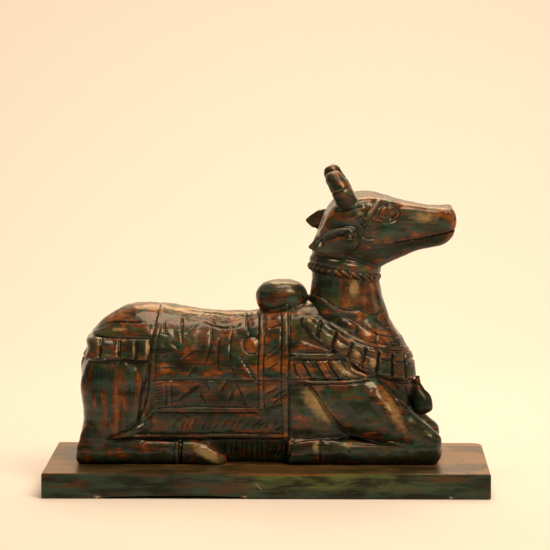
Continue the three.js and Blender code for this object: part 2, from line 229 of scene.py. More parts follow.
# %% Body, neck and thighs
back_line = spline([
    (-192, 124), (-189, 142), (-180, 158), (-171, 168), (-155, 179.5), (-138, 186), (-122, 187),
    (-98, 184), (-65, 179), (-40, 177), (-16, 177), (0, 180), (20, 186), (41, 190.5), (60, 188),
    (80, 180), (100, 168), (120, 150), (136, 128), (147, 106),
])
barrel_half = spline([
    (-192, 42), (-165, 46), (-130, 47.5), (-85, 46.5), (-40, 45), (0, 46), (45, 47), (85, 47),
    (115, 43), (147, 30),
])
belly_line = spline([(-192, 20), (147, 20)])
throat_line = spline([
    (24, 126), (60, 140), (88, 147), (107, 149.5), (128, 146), (143, 141), (156, 134), (170, 126),
    (190, 119), (205, 115.5), (222, 113.5), (245, 112), (266, 104),
])
nape_line = spline([
    (24, 46), (60, 36), (107, 26), (143, 30), (170, 37), (192, 42.5), (215, 45), (235, 45.5),
    (250, 47), (266, 54),
])
neck_half = spline([
    (24, 34), (60, 40), (90, 45), (110, 46), (140, 43.5), (165, 39), (190, 33), (215, 29.5),
    (266, 28),
])

masses = [
    loft("x", -192, 147, back_line, belly_line, barrel_half, 2.5, 3.6, (20, 36, 3), 200, 160),
    loft("z", 24, 268, throat_line, nape_line, neck_half, 2.3, 2.2, (4, 12, 2.5), 160, 120),
]
for side in (-1, 1):
    masses.append(lump((-154, side * 27, 80), (38.5, 26.5, 62), 3, 90, 90))

# %% [markdown]
# ## Legs, hump and tail
#
# The legs are folded under: a hind shank and hock, a broad upper arm that slants forward and down,
# and a fore shank along the ground. The hump is a separate swelling behind the neck. Two masses fill
# the rump between the thighs, where the carver left the wood, and the tail is a cord down over it.

# %% Folded legs, hump, rump and tail
leg_out = 40.5
for side in (-1, 1):
    y = side * leg_out
    masses.append(limb(
        [(-195, y, 38), (-150, y, 38.5), (-100, y, 38.5), (-70, y, 37.5), (-42, y, 25)],
        [(0, 13), (0.6, 12), (0.8, 12.5), (1, 10)],
        [(0, 12), (0.3, 13), (0.68, 12.6), (0.86, 12), (1, 7)], 2.9, (4, 8),
    ))
    masses.append(lump((-174, side * 38, 49), (18.5, 15, 24), 3, 50, 60))
    masses.append(limb(
        [(55, y * 0.75, 118), (88, y * 0.92, 91), (125, y, 71), (155, y, 54), (176, y, 41)],
        [(0, 15), (0.3, 15), (0.6, 14), (1, 12)],
        [(0, 34), (0.27, 36), (0.55, 25.5), (0.8, 16.5), (1, 11)], 2.6, (20, 9),
    ))
    masses.append(limb(
        [(20, y, 39), (60, y, 40), (110, y, 40), (150, y, 39), (178, y, 40)],
        [(0, 11.5), (0.2, 13), (1, 13)], [(0, 13), (0.2, 14), (0.9, 14), (1, 13)], 3, (3, 9),
    ))

masses.append(lump((14.5, 0, 192.5), (26.6, 25, 18.2), 2.5, 60, 80))
masses.append(lump((-164, 0, 141), (25, 42.5, 15), 3.2, 60, 90))
masses.append(lump((-165, 0, 96), (26, 38, 50), 3.4, 60, 90))
masses.append(limb(
    [(-172, 0, 158), (-185.5, 1, 138), (-187.5, 3, 100), (-188, 10, 66), (-189.5, 24, 44),
     (-191, 36, 36)],
    [(0, 8), (0.6, 5.5), (0.85, 7.5), (1, 4)],
    [(0, 5), (0.6, 4.5), (0.85, 5.5), (1, 4)], 2.4, (4, 4), 120, 32,
))

# %% [markdown]
# ## The head
#
# The head is a long wedge with a flat face plane, horns that lean in at the tips and leaf-shaped
# ears. It rolls and turns a few degrees, and the far ear is lifted at its tip, so all of it is drawn
# straight first and turned about the top of the neck at the end.

# %% Skull, horns, ears and eyes
head_pivot = np.array([80, 0, 240.0])
head_roll, head_yaw = math.radians(5), math.radians(3.5)

brow_line = spline([
    (50, 262), (57, 276.5), (66, 288.5), (74, 295), (89, 298.6), (104, 300), (120, 296.6),
    (136, 292.2), (156, 288), (176, 286.2), (188, 285), (193, 282),
])
jaw_line = spline([
    (50, 248), (60, 236), (75, 226), (95, 220.5), (112, 222.5), (129, 231), (142, 237),
    (154, 241.5), (168, 244), (180, 247.5), (188, 254), (193, 263),
])
cheek_half = spline([
    (50, 20), (62, 28), (78, 33), (98, 33.5), (115, 28.5), (135, 22), (155, 18.5), (172, 17.5),
    (184, 18.5), (193, 16),
])


def ear_hollow(share, angle):
    """The dent in an ear's outer face: deepest a little below the middle of the leaf, and fading
    towards its rim, root and tip."""
    outward = np.clip(np.cos(angle), 0, 1) ** 0.7
    return 7 * outward * np.sin(np.pi * np.clip((share - 0.16) / 0.8, 0, 1)) ** 0.8


# side, lift of the ear's root and of its tip, its reach back, its height, the horn's sway, turn
sides_of_head = ((-1, 0, 1.5, 3.5, 1, 1.4, np.pi), (1, 2, 15, 2.5, 1.15, 0.6, 0))
head = [loft("x", 50, 193, brow_line, jaw_line, cheek_half, 5.5, 2.2, (16, 6, 3), 140, 160)]
for side, root_lift, tip_lift, reach, rise, sway, turn in sides_of_head:
    head.append(limb(
        [(83, side * 17, 280), (79.5 - sway / 3, side * 23, 294), (74.5 - sway * 0.7, side * 25, 306),
         (68.5 - sway, side * 20, 317), (65.5 - sway * 1.2, side * 13, 323)],
        [(0, 10.5), (0.5, 10), (1, 8.8)], [(0, 11), (0.5, 10.1), (1, 8.8)], 2.1, (1, 9),
    ))
    head.append(limb(
        [(90, side * 31, 260 + root_lift), (78, side * 36, 258 + (3 * root_lift + tip_lift) / 4),
         (61 - reach, side * 40, 254.5 + (root_lift + 2 * tip_lift) / 3),
         (42.5 - reach, side * 42, 250 + tip_lift)],
        [(0, 7), (0.4, 7), (1, 3)], [(0, 10 * rise), (0.3, 12.8 * rise), (0.65, 11 * rise), (1, 3)],
        2.2, (5, 10), 80, 56, dent=lambda share, angle: side * ear_hollow(share, angle + turn),
    ))
    head.append(lump((119, side * 23, 283), (15, 2.6, 8.8), 2, 40, 48))
    head.append(lump((119.8, side * 23.5, 284), (6.2, 2.0, 6.2), 2, 32, 40))


def turned(points):
    """Points of the head, rolled about x and then turned about z round the top of the neck."""
    x, y, z = (points - head_pivot).T
    y, z = spin(y, z, head_roll)
    x, y = spin(x, y, head_yaw)
    return np.stack([x, y, z], -1) + head_pivot


masses += [(turned(points), faces) for points, faces in head]

# %% [markdown]
# ## Collar and bell
#
# Under the jaw lies a collar: a plain band over a rope of two strands, tilted down to the throat.
# A ring swept round the neck makes both. The rope's section is a pointed oval that turns as it goes,
# which is just what two twisted strands look like. The bell hangs free before the breast on a knot.

# %% Collar rings and the breast bell
collar_centre = np.array([79, 0, 223.5])
collar_tilt = math.radians(9)
collar_long, collar_wide = 33, 28.5


def collar_ring(lift, out, thick, rise, twist=0, strands=0.0, steps=420, sides=28):
    """A ring round the neck: an oval section of half thickness and half rise, whose radius swells
    by strands where the cosine of twice its angle, less the twist, is high."""
    around = 2 * np.pi * np.arange(steps)[:, None] / steps
    angle = 2 * np.pi * np.arange(sides) / sides
    swell = 1 + strands * np.cos(2 * angle - twist * around)
    reach = out + thick * swell * np.cos(angle)
    px = (collar_long + reach) * np.cos(around)
    py = (collar_wide + reach) * np.sin(around)
    tilt_x, tilt_z = spin(px, lift + rise * swell * np.sin(angle), -collar_tilt)
    made = np.stack([tilt_x, py, tilt_z], -1) + collar_centre
    here = sides * np.arange(steps)[:, None] + np.arange(sides)
    beside, onward = np.roll(here, -1, axis=1), np.roll(here, -1, axis=0)
    across = np.roll(beside, -1, axis=0)
    walls = [np.stack([here, onward, beside], -1), np.stack([beside, onward, across], -1)]
    return made.reshape(-1, 3), np.concatenate(walls).reshape(-1, 3)


masses.append(collar_ring(3.4, -0.6, 4.8, 5.6))
masses.append(collar_ring(-3.6, 0.5, 4.4, 4.3, twist=34, strands=0.16))
masses.append(limb(
    [(159.5, 0, 72), (158.5, 0, 84), (155, 0, 95), (152.5, 0, 104)],
    [(0, 8), (0.25, 9.8), (0.5, 9.4), (0.75, 6.5), (1, 4)],
    [(0, 9), (0.25, 11), (0.5, 10.8), (0.75, 8), (1, 5)], 2.2, (6, 2), 70, 48,
))
masses.append(lump((153.7, 0, 106), (4.1, 4.1, 3.9), 2, 32, 40))
print("main masses:", len(masses))

# %% [markdown]
# ## One carving
#
# The real figure is one piece of wood, so the overlapping masses become one skin. A voxel remesh
# does that: it lays a fine grid through space and keeps the outer surface alone, in even squares
# small enough to hold a V-tool's line. A few rounds of smoothing then ease the joins.

# %% Fuse the masses
mm = 0.001
voxel = 0.8 * mm


def mesh_from(name, points, faces):
    """A mesh of triangles or of squares from whole arrays."""
    mesh = bpy.data.meshes.new(name)
    mesh.vertices.add(len(points))
    mesh.vertices.foreach_set("co", np.ascontiguousarray(points, np.float32).ravel())
    mesh.loops.add(faces.size)
    mesh.loops.foreach_set("vertex_index", np.ascontiguousarray(faces, np.int32).ravel())
    mesh.polygons.add(len(faces))
    starts = np.arange(0, faces.size, faces.shape[1], dtype=np.int32)
    mesh.polygons.foreach_set("loop_start", starts)
    mesh.update(calc_edges=True)
    return mesh


def arrays_of(mesh):
    """Points and squares of a remeshed mesh as arrays."""
    points = np.empty(len(mesh.vertices) * 3, np.float32)
    mesh.vertices.foreach_get("co", points)
    corners = np.empty(len(mesh.loops), np.int32)
    mesh.loops.foreach_get("vertex_index", corners)
    return points.reshape(-1, 3).astype(float), corners.reshape(len(mesh.polygons), -1)


def applied(obj):
    """Puts the result of an object's modifiers into its own mesh."""
    graph = bpy.context.evaluated_depsgraph_get()
    made = bpy.data.meshes.new_from_object(obj.evaluated_get(graph))
    obj.modifiers.clear()
    obj.data = made


offsets = np.cumsum([0] + [len(points) for points, faces in masses[:-1]])
all_points = np.vstack([points for points, faces in masses])
all_faces = np.vstack([faces + offset for (points, faces), offset in zip(masses, offsets)])

bull = bpy.data.objects.new("carved_bull", mesh_from("carved_bull", all_points * mm, all_faces))
bpy.context.scene.collection.objects.link(bull)
fuse = bull.modifiers.new("fuse", "REMESH")
fuse.mode = "VOXEL"
fuse.voxel_size = voxel
applied(bull)
points, squares = arrays_of(bull.data)
print("fused skin:", len(points), "points,", squares.shape, "squares")

# %% [markdown]
# ## Carving in relief
#
# The dress of the bull is cut in low relief over the flanks and the back. A carver first sets in
# the raised areas, then cuts lines with a V-tool. Both are height here: each point of the skin is
# moved along its own normal by a height worked out from its place in the side view. The same
# drawing serves both flanks, because a carver mirrors it too.

# %% Normals and gentle smoothing
def edge_pairs(squares):
    """Both ends of every side of every square, so that each edge comes twice."""
    return squares.ravel(), np.roll(squares, -1, axis=1).ravel()


def smoothed(values, pairs, rounds, share=0.5):
    """Each value moved by a share towards the mean of its neighbours', some rounds."""
    first, second = pairs
    count = np.maximum(np.bincount(first, minlength=len(values)), 1)
    for _ in range(rounds):
        sums = [np.bincount(first, column[second], len(values)) for column in values.T]
        mean = np.stack([total / count for total in sums], -1)
        values = values + share * (mean - values)
    return values


def normals_of(points, squares):
    """Unit normals: the cross products of the diagonals of the squares at a point, added up."""
    a, b, c, d = (points[squares[:, i]] for i in range(4))
    faces = np.cross(c - a, d - b)
    total = np.stack([
        sum(np.bincount(squares[:, i], column, len(points)) for i in range(4)) for column in faces.T
    ], -1)
    return total / np.maximum(np.linalg.norm(total, axis=1), 1e-12)[:, None]


both_ways = [np.concatenate(p) for p in zip(edge_pairs(squares), edge_pairs(squares)[::-1])]
easing_rounds = 6
points = smoothed(points, both_ways, easing_rounds)
normals = normals_of(points, squares)
spot = points / mm
height, cut = np.zeros(len(points)), np.zeros(len(points))
x, y, z = spot.T
flank = np.abs(normals[:, 1]) > 0.25
side_view = (x, z, flank)


# %% Tools of the carver
def step(distance, width):
    """Smooth step from 0 to 1 across a width centred on distance 0."""
    t = np.clip(distance / width + 0.5, 0, 1)
    return t * t * (3 - 2 * t)


def box_mask(x0, x1, z0, z1, width=1.2):
    """1 inside a rectangle of the side view, with sloping edges."""
    return step(x - x0, width) * step(x1 - x, width) * step(z - z0, width) * step(z1 - z, width)


def drawn(path, each=1.5):
    """Points along a smooth curve through the few that are given, one about every 1.5 mm."""
    path = np.array(path, float)
    if len(path) == 2:
        return path
    whole = knots_of(path)[-1]
    return curved(path, np.linspace(0, whole, max(3, int(whole / each))))


def along_line(path, u, v):
    """Distance to a line of points, share along it, and side: 1 on its right when it runs down.
    Each piece of the line is tried in turn, and the nearest is kept."""
    best, share, side = np.full(len(u), 1e9), np.zeros(len(u)), np.zeros(len(u))
    starts = knots_of(path)
    for a, run, start, length in zip(path, np.diff(path, axis=0), starts, np.diff(starts)):
        du, dv = u - a[0], v - a[1]
        t = np.clip((du * run[0] + dv * run[1]) / length**2, 0, 1)
        gap = np.hypot(du - t * run[0], dv - t * run[1])
        closer = gap < best
        best[closer] = gap[closer]
        share[closer] = ((start + t * length) / starts[-1])[closer]
        side[closer] = np.sign(dv * run[0] - du * run[1])[closer]
    return best, share, side


def near_line(path, reach, view):
    """Which points of a view lie within reach of a drawn line, how far from it, and where along it.
    A view is two coordinates and the points that take part."""
    u, v, among = view
    path = drawn(path)
    low, high = path.min(0) - reach, path.max(0) + reach
    index = np.flatnonzero(among & (u > low[0]) & (u < high[0]) & (v > low[1]) & (v < high[1]))
    gap, share, _ = along_line(path, u[index], v[index])
    inside = gap < reach
    return index[inside], gap[inside], share[inside]


def tapered(share, length_share):
    """The V-tool enters and leaves the wood at a slant: full depth only between the line's ends."""
    return np.clip(np.minimum(share, 1 - share) / length_share, 0.25, 1)


def v_cut(path, width, depth, taper=0.18, view=side_view):
    """A V-tool's line: depth falls off straight to both sides. Crossing lines keep the deeper."""
    reach = width / 2 + 0.5
    index, gap, share = near_line(path, reach, view)
    cut[index] = np.maximum(cut[index], depth * np.clip(1 - gap / reach, 0, 1) * tapered(share, taper))


def ridge(path, width, rise, view=side_view):
    """A raised bead along a line, round in section."""
    index, gap, share = near_line(path, width / 2, view)
    height[index] += rise * np.sqrt(np.clip(1 - (gap / (width / 2)) ** 2, 0, 1)) * tapered(share, 0.06)


def swelling(path, width, rise):
    """A soft rounded rise along a line, which fades out at its sides and at both ends."""
    index, gap, share = near_line(path, width / 2, side_view)
    height[index] += rise * (1 - (gap / (width / 2)) ** 2) ** 2 * np.sin(np.pi * share) ** 0.6


def shifted(path, along=0.0, up=0.0):
    """A path moved in its view."""
    return [(a + along, b + up) for a, b in path]


# %% [markdown]
# ## The saddle cloth
#
# The cloth lies over the back like a blanket: a raised panel down to a double hem, with a broad
# upright border beside the foreleg. A seam parts the upper panel, which has scalloped drapes and
# a ring, from the lower one, which has crossed folds over a strip of short strokes.

# %% The cloth's ground, borders and lines
cloth_front, cloth_hem, cloth_seam = 21.5, 53, 112.2
cloth_back = spline([
    (50, -170), (54.5, -158), (61, -141.5), (71, -130.5), (83, -124), (105, -119.8), (128, -118),
    (150, -117), (168, -113.5), (190, -108),
])
border_back, bead_back, bead_front = -8.5, -3.2, 15
border_foot, border_top = 83, 178
under_hump = step(back_line(x) + 1 - z, 3)
cloth = step(x - cloth_back(z), 1.8) * step(cloth_front - x, 1.6) * step(z - cloth_hem, 1.4) * under_hump
thinner_above = 1 - 0.6 * step(z - 160, 40) * step(-60 - x, 60)
cloth_rise = 2.4
height += cloth_rise * cloth * thinner_above
# rise, then the rectangle: the border's two beads, the hem, the strip's top and its upright end
for rise, *box in (
    (1.0, border_back, bead_back, border_foot, border_top, 1.4),
    (1.0, bead_front, cloth_front, cloth_hem, border_top, 1.4),
    (1.0, -136, cloth_front, cloth_hem, 57.4),
    (1.0, -110, border_back, 79.3, 84.4),
    (0.7, -102, -97.8, 84.4, cloth_seam),
):
    height += rise * box_mask(*box)

body_view = (x, z, z < back_line(x) + 1)
for edge, foot in ((border_back, border_foot), (bead_back, border_foot), (bead_front, cloth_hem),
                   (cloth_front + 0.8, cloth_hem)):
    upright_line = [(edge + 0.6, foot), (edge - 0.5, 120), (edge + 0.4, 150), (edge, border_top)]
    v_cut(upright_line, 1.6, 1.1, 0.04, body_view)
for lean, top in ((0, 186), (5.2, 178)):
    levels = np.linspace(104, top, 6)
    v_cut(np.stack([cloth_back(levels) + lean, levels], 1), 1.3, 0.6, 0.3)
for width, depth, taper, path in (
    (1.7, 1.1, 0.03, [(-134, 57.8), (-90, 57.2), (-40, 58), (cloth_front - 6, 57.4)]),
    (2.6, 1.9, 0.06, [(-150, 54), (-130, 53.4), (-60, 52.8), (cloth_front, 52.6)]),
    (1.8, 1.2, 0.03, [(-117, 112.4), (-70, 112.8), (-30, 111.8), (18, 112.4)]),
    (1.7, 1.3, 0.05, [(-118, 79.6), (-100, 79), (-60, 78.6), (border_back, 79.4)]),
    (1.6, 1.2, 0.05, [(-111, 84.2), (-70, 84.9), (-40, 84.4), (border_back, 84.8)]),
    (1.3, 0.9, 0.18, [(-102.4, 110.5), (-101.9, 98), (-102.4, 85)]),
    (1.3, 0.9, 0.18, [(-97.4, 110.5), (-96.9, 98), (-97.4, 85)]),
):
    v_cut(path, width, depth, taper)

# %% Scallops, drapes and the ring of the upper panel
for path in (
    [(-68, 169.7), (-55, 165), (-38.6, 162.4), (-22.3, 167.7)],
    [(-68, 168.7), (-86.3, 152.8)],
    [(-86.3, 176), (-87, 160), (-86.5, 148)],
    [(-56.4, 165.5), (-57.5, 144.6), (-62.7, 127.9)],
    [(-48.1, 153.8), (-50.1, 134.3), (-49.1, 123.7)],
    [(-35.7, 160.3), (-37.7, 136.4), (-32.4, 116.4)],
    [(-76.2, 140.5), (-87.4, 131.3)],
    [(-72.1, 128.2), (-80.2, 116.4)],
    [(-22.3, 177.4), (-20.5, 164), (-17.2, 155)],
    [(-108.7, 136.4), (-100, 137.4), (-94.5, 137.9)],
    [(-108.7, 124.1), (-96.5, 125.6)],
    [(-104, 170), (-104.5, 158)],
    [(-108, 158.5), (-99, 157)],
    [(-96, 149), (-90, 143.5)],
):
    v_cut(path, 1.7, 1.1)


def circle(centre, radius, start, count):
    """Points round a circle, from the angle start to as far before the full turn."""
    angle = np.linspace(start, 2 * math.pi - start, count)
    return np.stack([centre[0] + radius * np.cos(angle), centre[1] + radius * np.sin(angle)], 1)


ring_centre = (-15.6, 146.8)
ring = circle(ring_centre, 8.4, 0.22, 24)
v_cut(ring[ring[:, 0] < border_back], 1.9, 1.3)
from_ring = (x - ring_centre[0]) ** 2 + (z - ring_centre[1]) ** 2
height += 1.0 * np.exp(-((from_ring / 5.8**2) ** 2)) * flank
v_cut([(-26.4, 135.4), (-17, 121.5), (-7.6, 108)], 3.6, 1.3)
for at in np.arange(9) / 8:
    px, pz = -26.4 + 18.8 * at, 135.4 - 27.4 * at
    v_cut([(px - 1.8, pz - 0.4), (px + 1.8, pz + 0.8)], 1.1, 1.7)

# %% Strokes inside the border, and the drape's tail
for path in (
    [(-0.9, 138.4), (9.2, 146.6)],
    [(-0.9, 132.8), (11.3, 142.5)],
    [(1.1, 163.1), (8.2, 164.6), (16.4, 166.6)],
    [(15.0, 161.5), (14.5, 148.7), (15.0, 136.7)],
    [(-1.9, 168.2), (-3.0, 151.8), (-3.5, 135.4)],
    [(0.1, 123.0), (13.3, 131.3)],
    [(5.2, 94.3), (17.4, 103.6)],
    [(5.2, 88.2), (18.4, 98.4)],
    [(-3.0, 83.0), (7.2, 86.1), (18.4, 90.2)],
    [(-0.9, 98.4), (10.3, 104.6)],
    [(8.2, 60.5), (18.4, 66.6)],
    [(-13.1, 66.6), (-5.0, 72.8)],
    [(-9.1, 65.6), (-0.9, 70.7)],
):
    v_cut(path, 1.5, 1.0, view=body_view)
drape_tail = [(-112.8, 81.0), (-121.9, 70.7), (-135.1, 61.5), (-157.5, 54.8)]
swelling(drape_tail, 16, 1.0)
v_cut(shifted(drape_tail, 3, 4.5), 1.8, 0.7)

# %% Folds and hatching of the lower panel
for path in (
    [(-69.1, 109), (-77.2, 101.7), (-90.6, 92.3)],
    [(-63, 112.2), (-58.5, 102.7)],
    [(-39.8, 112.2), (-46.1, 102.7)],
    [(-68, 100.7), (-61.9, 89.2)],
    [(-33.6, 101.7), (-39.6, 90.2)],
    [(-32.5, 112.2), (-26, 98), (-20.3, 85.1)],
):
    v_cut(path, 1.8, 1.2)
for k in range(7):
    v_cut(shifted([(-116, 89.5), (-110.5, 90.4), (-105, 90.8)], up=3.1 * k), 1.1, 0.5)
chance = np.random.default_rng(7)
for at in np.arange(-96, 14, 7.2):
    foot_shift, lean = chance.uniform(-1.5, 1.5, 2)
    v_cut([(at + foot_shift, 62.5 + lean), (at + 4.5 + foot_shift, 72.5 + 1.5 * lean)], 1.2, 0.6)
for at in np.arange(-42, 2, 5.3):
    bow, drop = chance.uniform(-1.5, 1.5), chance.uniform(0, 9)
    v_cut([(at, 50.5), (at + bow, 43), (at - 1, 34 - drop)], 1.7, 1.0, 0.3)
for at in (5, 8.5, 13):
    v_cut([(at + 3.5, 49), (at, 38), (at - 5, 30)], 2.2, 1.1, 0.3)

# %% Cross hatching along the top of the back
for k in range(9):
    at = -84 + 7.6 * k
    v_cut([(at, 172 - 0.35 * k), (at + 15, 176.2 - 0.4 * k)], 1.2, 0.8)
for path in (
    [(-92, 180.5), (-60, 176), (-28, 172.5), (-12, 174.5)],
    [(-96, 178), (-70, 172), (-40, 169)],
    [(-60, 172), (-52, 166)],
    [(-56, 175), (-46, 167.5)],
):
    v_cut(path, 1.4, 0.9)

# %% [markdown]
# ## The band round the rump
#
# A row of rounded blocks hangs round the rump under a flat strap that tapers away over the tail.
# The thigh is a mass of its own below it, parted from the cloth by a deep crease.

# %% Rump band, strap and thigh crease
rump_low, rump_high = 131.5, 154.0
edge_of_cloth = step(cloth_back(z) - 0.5 - x, 1.2)
behind_cloth = x < cloth_back(z) - 1
rump_view = (x, z, behind_cloth)
up_band = (z - rump_low) / (rump_high - rump_low)
rump_band = edge_of_cloth * step(z - rump_low, 1.2) * step(rump_high - z, 1.2)
rump_band *= (1 - 0.7 * np.clip(up_band, 0, 1)) * step(x + 189, 12)
band_rise, lobe_rise, strap_rise, lip_drop = 3.2, 1.5, 1.1, 1.9
height += band_rise * rump_band
dividers = np.array([-215.0, -168.0, -149.4, -132.5, -119.4])
divider_lean = (2, 0.5, 0.5, 0.5)
up_lobe = np.sqrt(np.clip(1 - np.clip(up_band * 2 - 1, -1, 1) ** 6, 0, 1))
for left, right in zip(dividers[:-1], dividers[1:]):
    across = np.clip((x - left) / (right - left) * 2 - 1, -1, 1)
    lobe = np.sqrt(np.clip(1 - across**4, 0, 1)) * up_lobe
    height += lobe_rise * lobe * rump_band * (x > left) * (x < right)
for at, lean in zip(dividers[1:], divider_lean):
    v_cut([(at - lean, rump_low - 1), (at, rump_high - 2)], 2.8, 1.9, 0.05, (x, z, behind_cloth & flank))
for level in (rump_low, rump_high):
    v_cut([(-200, level), (-160, level + 0.6), (-120, level)], 2.0, 1.6, 0.02, rump_view)
strap_top = spline([(-200, 156), (-172, 161), (-162.6, 167.5), (-145, 169), (-119, 169)])
height += strap_rise * edge_of_cloth * step(z - rump_high, 1.0) * step(strap_top(x) - z, 1.4)
v_cut([(-165, 167.8), (-150, 169.6), (-124, 169.4)], 1.8, 1.2, view=rump_view)
for width, depth, taper, path in (
    (4.0, 1.8, 0.3, [(-119.4, 128.2), (-123.5, 114.8), (-127.0, 97.4), (-128.0, 82.0), (-132.1, 68.7),
                     (-145.3, 59.4)]),
    (2.6, 1.8, 0.25, [(-162.6, 52.7), (-149.4, 51.2), (-131.1, 52.7), (-108.7, 51.4), (-90.4, 50.2)]),
    (4.4, 2.6, 0.02, [(-87.4, 51.2), (-88.1, 38.9), (-87.8, 25.6)]),
):
    v_cut(path, width, depth, taper)
thigh_lip = step(x + 131, 26) * step(-116 - x, 5) * step(z - 62, 30) * step(110 - z, 40)
height -= lip_drop * thigh_lip * flank
ridge([(-91.4, 49.2), (-92.1, 38.9), (-91.8, 26.6)], 3.4, 1.0)

# %% [markdown]
# ## The garland and the straps
#
# A garland of square blocks, each with a small block above it, hangs from behind the neck to the
# breast under a cord and a row of petals. A strap, a row of slanted leaves and a lower cord run
# forward from the cloth across the shoulder.

# %% Garland
garland_low = spline([
    (18, 182), (37, 167.5), (50, 154), (67, 142), (84.5, 130.5), (100.7, 120), (113, 116.5),
    (128, 112.5), (143.5, 110), (170, 108),
])
garland_high = spline([
    (18, 194), (45, 180), (70, 165.5), (85, 156), (101, 149), (123, 143.5), (142, 141), (170, 140),
])
upper_breast = (z > 95) & (x > 24)
breast_view = (x, z, upper_breast)
band_share = (z - garland_low(x)) / (garland_high(x) - garland_low(x))
garland = step(x - 36, 2) * step(z - garland_low(x), 1.2) * step(garland_high(x) - z, 1.2)
garland_rise, block_rise, small_block_rise, petal_rise = 2.4, 2.0, 1.5, 1.4
height += garland_rise * garland * step(175 - z, 2) * upper_breast
block_edges = np.array([38, 50.5, 65, 80.5, 94.5, 109.5, 125.5, 139.5, 151])
block_lean = np.array([3, 4.5, 7, 8, 7, 4, 0, -3, -4])


def band_point(at, share, lean):
    """A point on the garland: lean shifts the top of an upright forward of its foot."""
    at = at + lean * share
    return at, garland_low(at) + share * (garland_high(at) - garland_low(at))


foot = x - np.interp(x, block_edges, block_lean) * band_share
for left, right in zip(block_edges[:-1] + 1.6, block_edges[1:] - 1.6):
    inside = step(foot - left, 1.4) * step(right - foot, 1.4) * upper_breast * step(174 - z, 3)
    for rise, low, high in ((block_rise, 0.05, 0.56), (small_block_rise, 0.64, 0.84)):
        height += rise * inside * step(band_share - low, 0.06) * step(high - band_share, 0.06)
for at, lean in zip(block_edges[1:-1], block_lean[1:-1]):
    v_cut([band_point(at, 0.02, lean), band_point(at, 0.86, lean)], 2.2, 1.5, 0.04, breast_view)
cord_path = [(62, 171), (71, 165.5), (86, 156.5), (101, 149.8), (122, 144.5), (143, 142)]
ridge(cord_path, 3.6, 1.6, breast_view)
v_cut(shifted(cord_path, up=-2.4), 1.4, 1.2, view=breast_view)
v_cut(shifted(cord_path, up=2.3), 1.2, 0.8, view=breast_view)
v_cut([(38.5, 167), (52, 155.5), (67, 143.5), (94, 127.5), (113, 116.5), (132, 109.6), (150, 105.6)],
      2.2, 1.8, 0.02, breast_view)

# %% Petals above the cord, and the crease at the foot of the neck
for px, pz in ((81.5, 166.5), (101.5, 157.5), (119, 150.5), (136, 148.5)):
    along = (x - px) * 0.89 - (z - pz) * 0.45
    across = (x - px) * 0.45 + (z - pz) * 0.89
    lobe = np.sqrt(np.clip(1 - np.abs(along / 9.6) ** 2.6 - np.abs(across / 5.6) ** 2.6, 0, 1))
    height += petal_rise * lobe * upper_breast
    v_cut([(px + 7, pz - 8), (px + 10, pz + 0.5), (px + 6, pz + 5)], 1.4, 0.9, view=breast_view)
v_cut([(66, 177.5), (80, 175), (96, 167.5), (112, 158.5), (128, 154.5), (142, 153)], 1.7, 1.1,
      view=breast_view)
neck_crease = [(46.5, 198.5), (57.5, 194), (72, 185), (94, 182)]
v_cut(neck_crease, 2.2, 1.5)
ridge(shifted(neck_crease, up=-2.6), 3.6, 0.7)
v_cut([(106.5, 174.3), (120.1, 166.6), (128.2, 164.1)], 1.5, 0.8)
v_cut([(94.6, 181.5), (106.8, 178.4), (117.0, 179.5)], 1.5, 0.8)

# %% Strap, leaves and cord across the shoulder
leaf_lines = [
    [(27, 131), (29, 122), (33, 115)],
    [(34.5, 132), (40, 124), (44, 115)],
    [(48, 132.5), (53, 124), (59, 114.5)],
    [(61.5, 132.5), (66, 124), (72.5, 114.5)],
    [(75, 132), (81, 123.5), (90, 118), (99, 115)],
    [(85, 131), (94, 123), (106, 117)],
]
ridge([(24, 137), (50, 136.8), (74, 137)], 6.4, 1.8)
for line in leaf_lines:
    v_cut(line, 2.2, 1.7, 0.1)
for line in leaf_lines[1:5]:
    ridge(shifted(line, 4.2), 7.0, 1.5)
ridge([(26, 111.3), (75, 111.2), (108, 114.2)], 3.0, 1.3)
for width, depth, path in (
    (1.8, 1.3, [(22, 140.6), (50, 140.4), (80, 141)]),
    (1.8, 1.5, [(22, 133.4), (50, 133), (86, 133.6)]),
    (1.5, 1.3, [(24, 113.6), (75, 113.4), (108, 116.2)]),
    (1.6, 1.5, [(22, 109.2), (75, 109), (108, 112)]),
    (1.6, 1.0, [(34, 153.5), (52, 147), (78, 139.5)]),
):
    v_cut(path, width, depth)

# %% [markdown]
# ## The folded foreleg
#
# The upper arm lies on the flank like a thick leaf: a deep channel runs behind it down to the
# shank, the arm's edge stands proud of that channel, and a long ridge marks its front. Lines
# across the shank part the hoof and the fetlock.

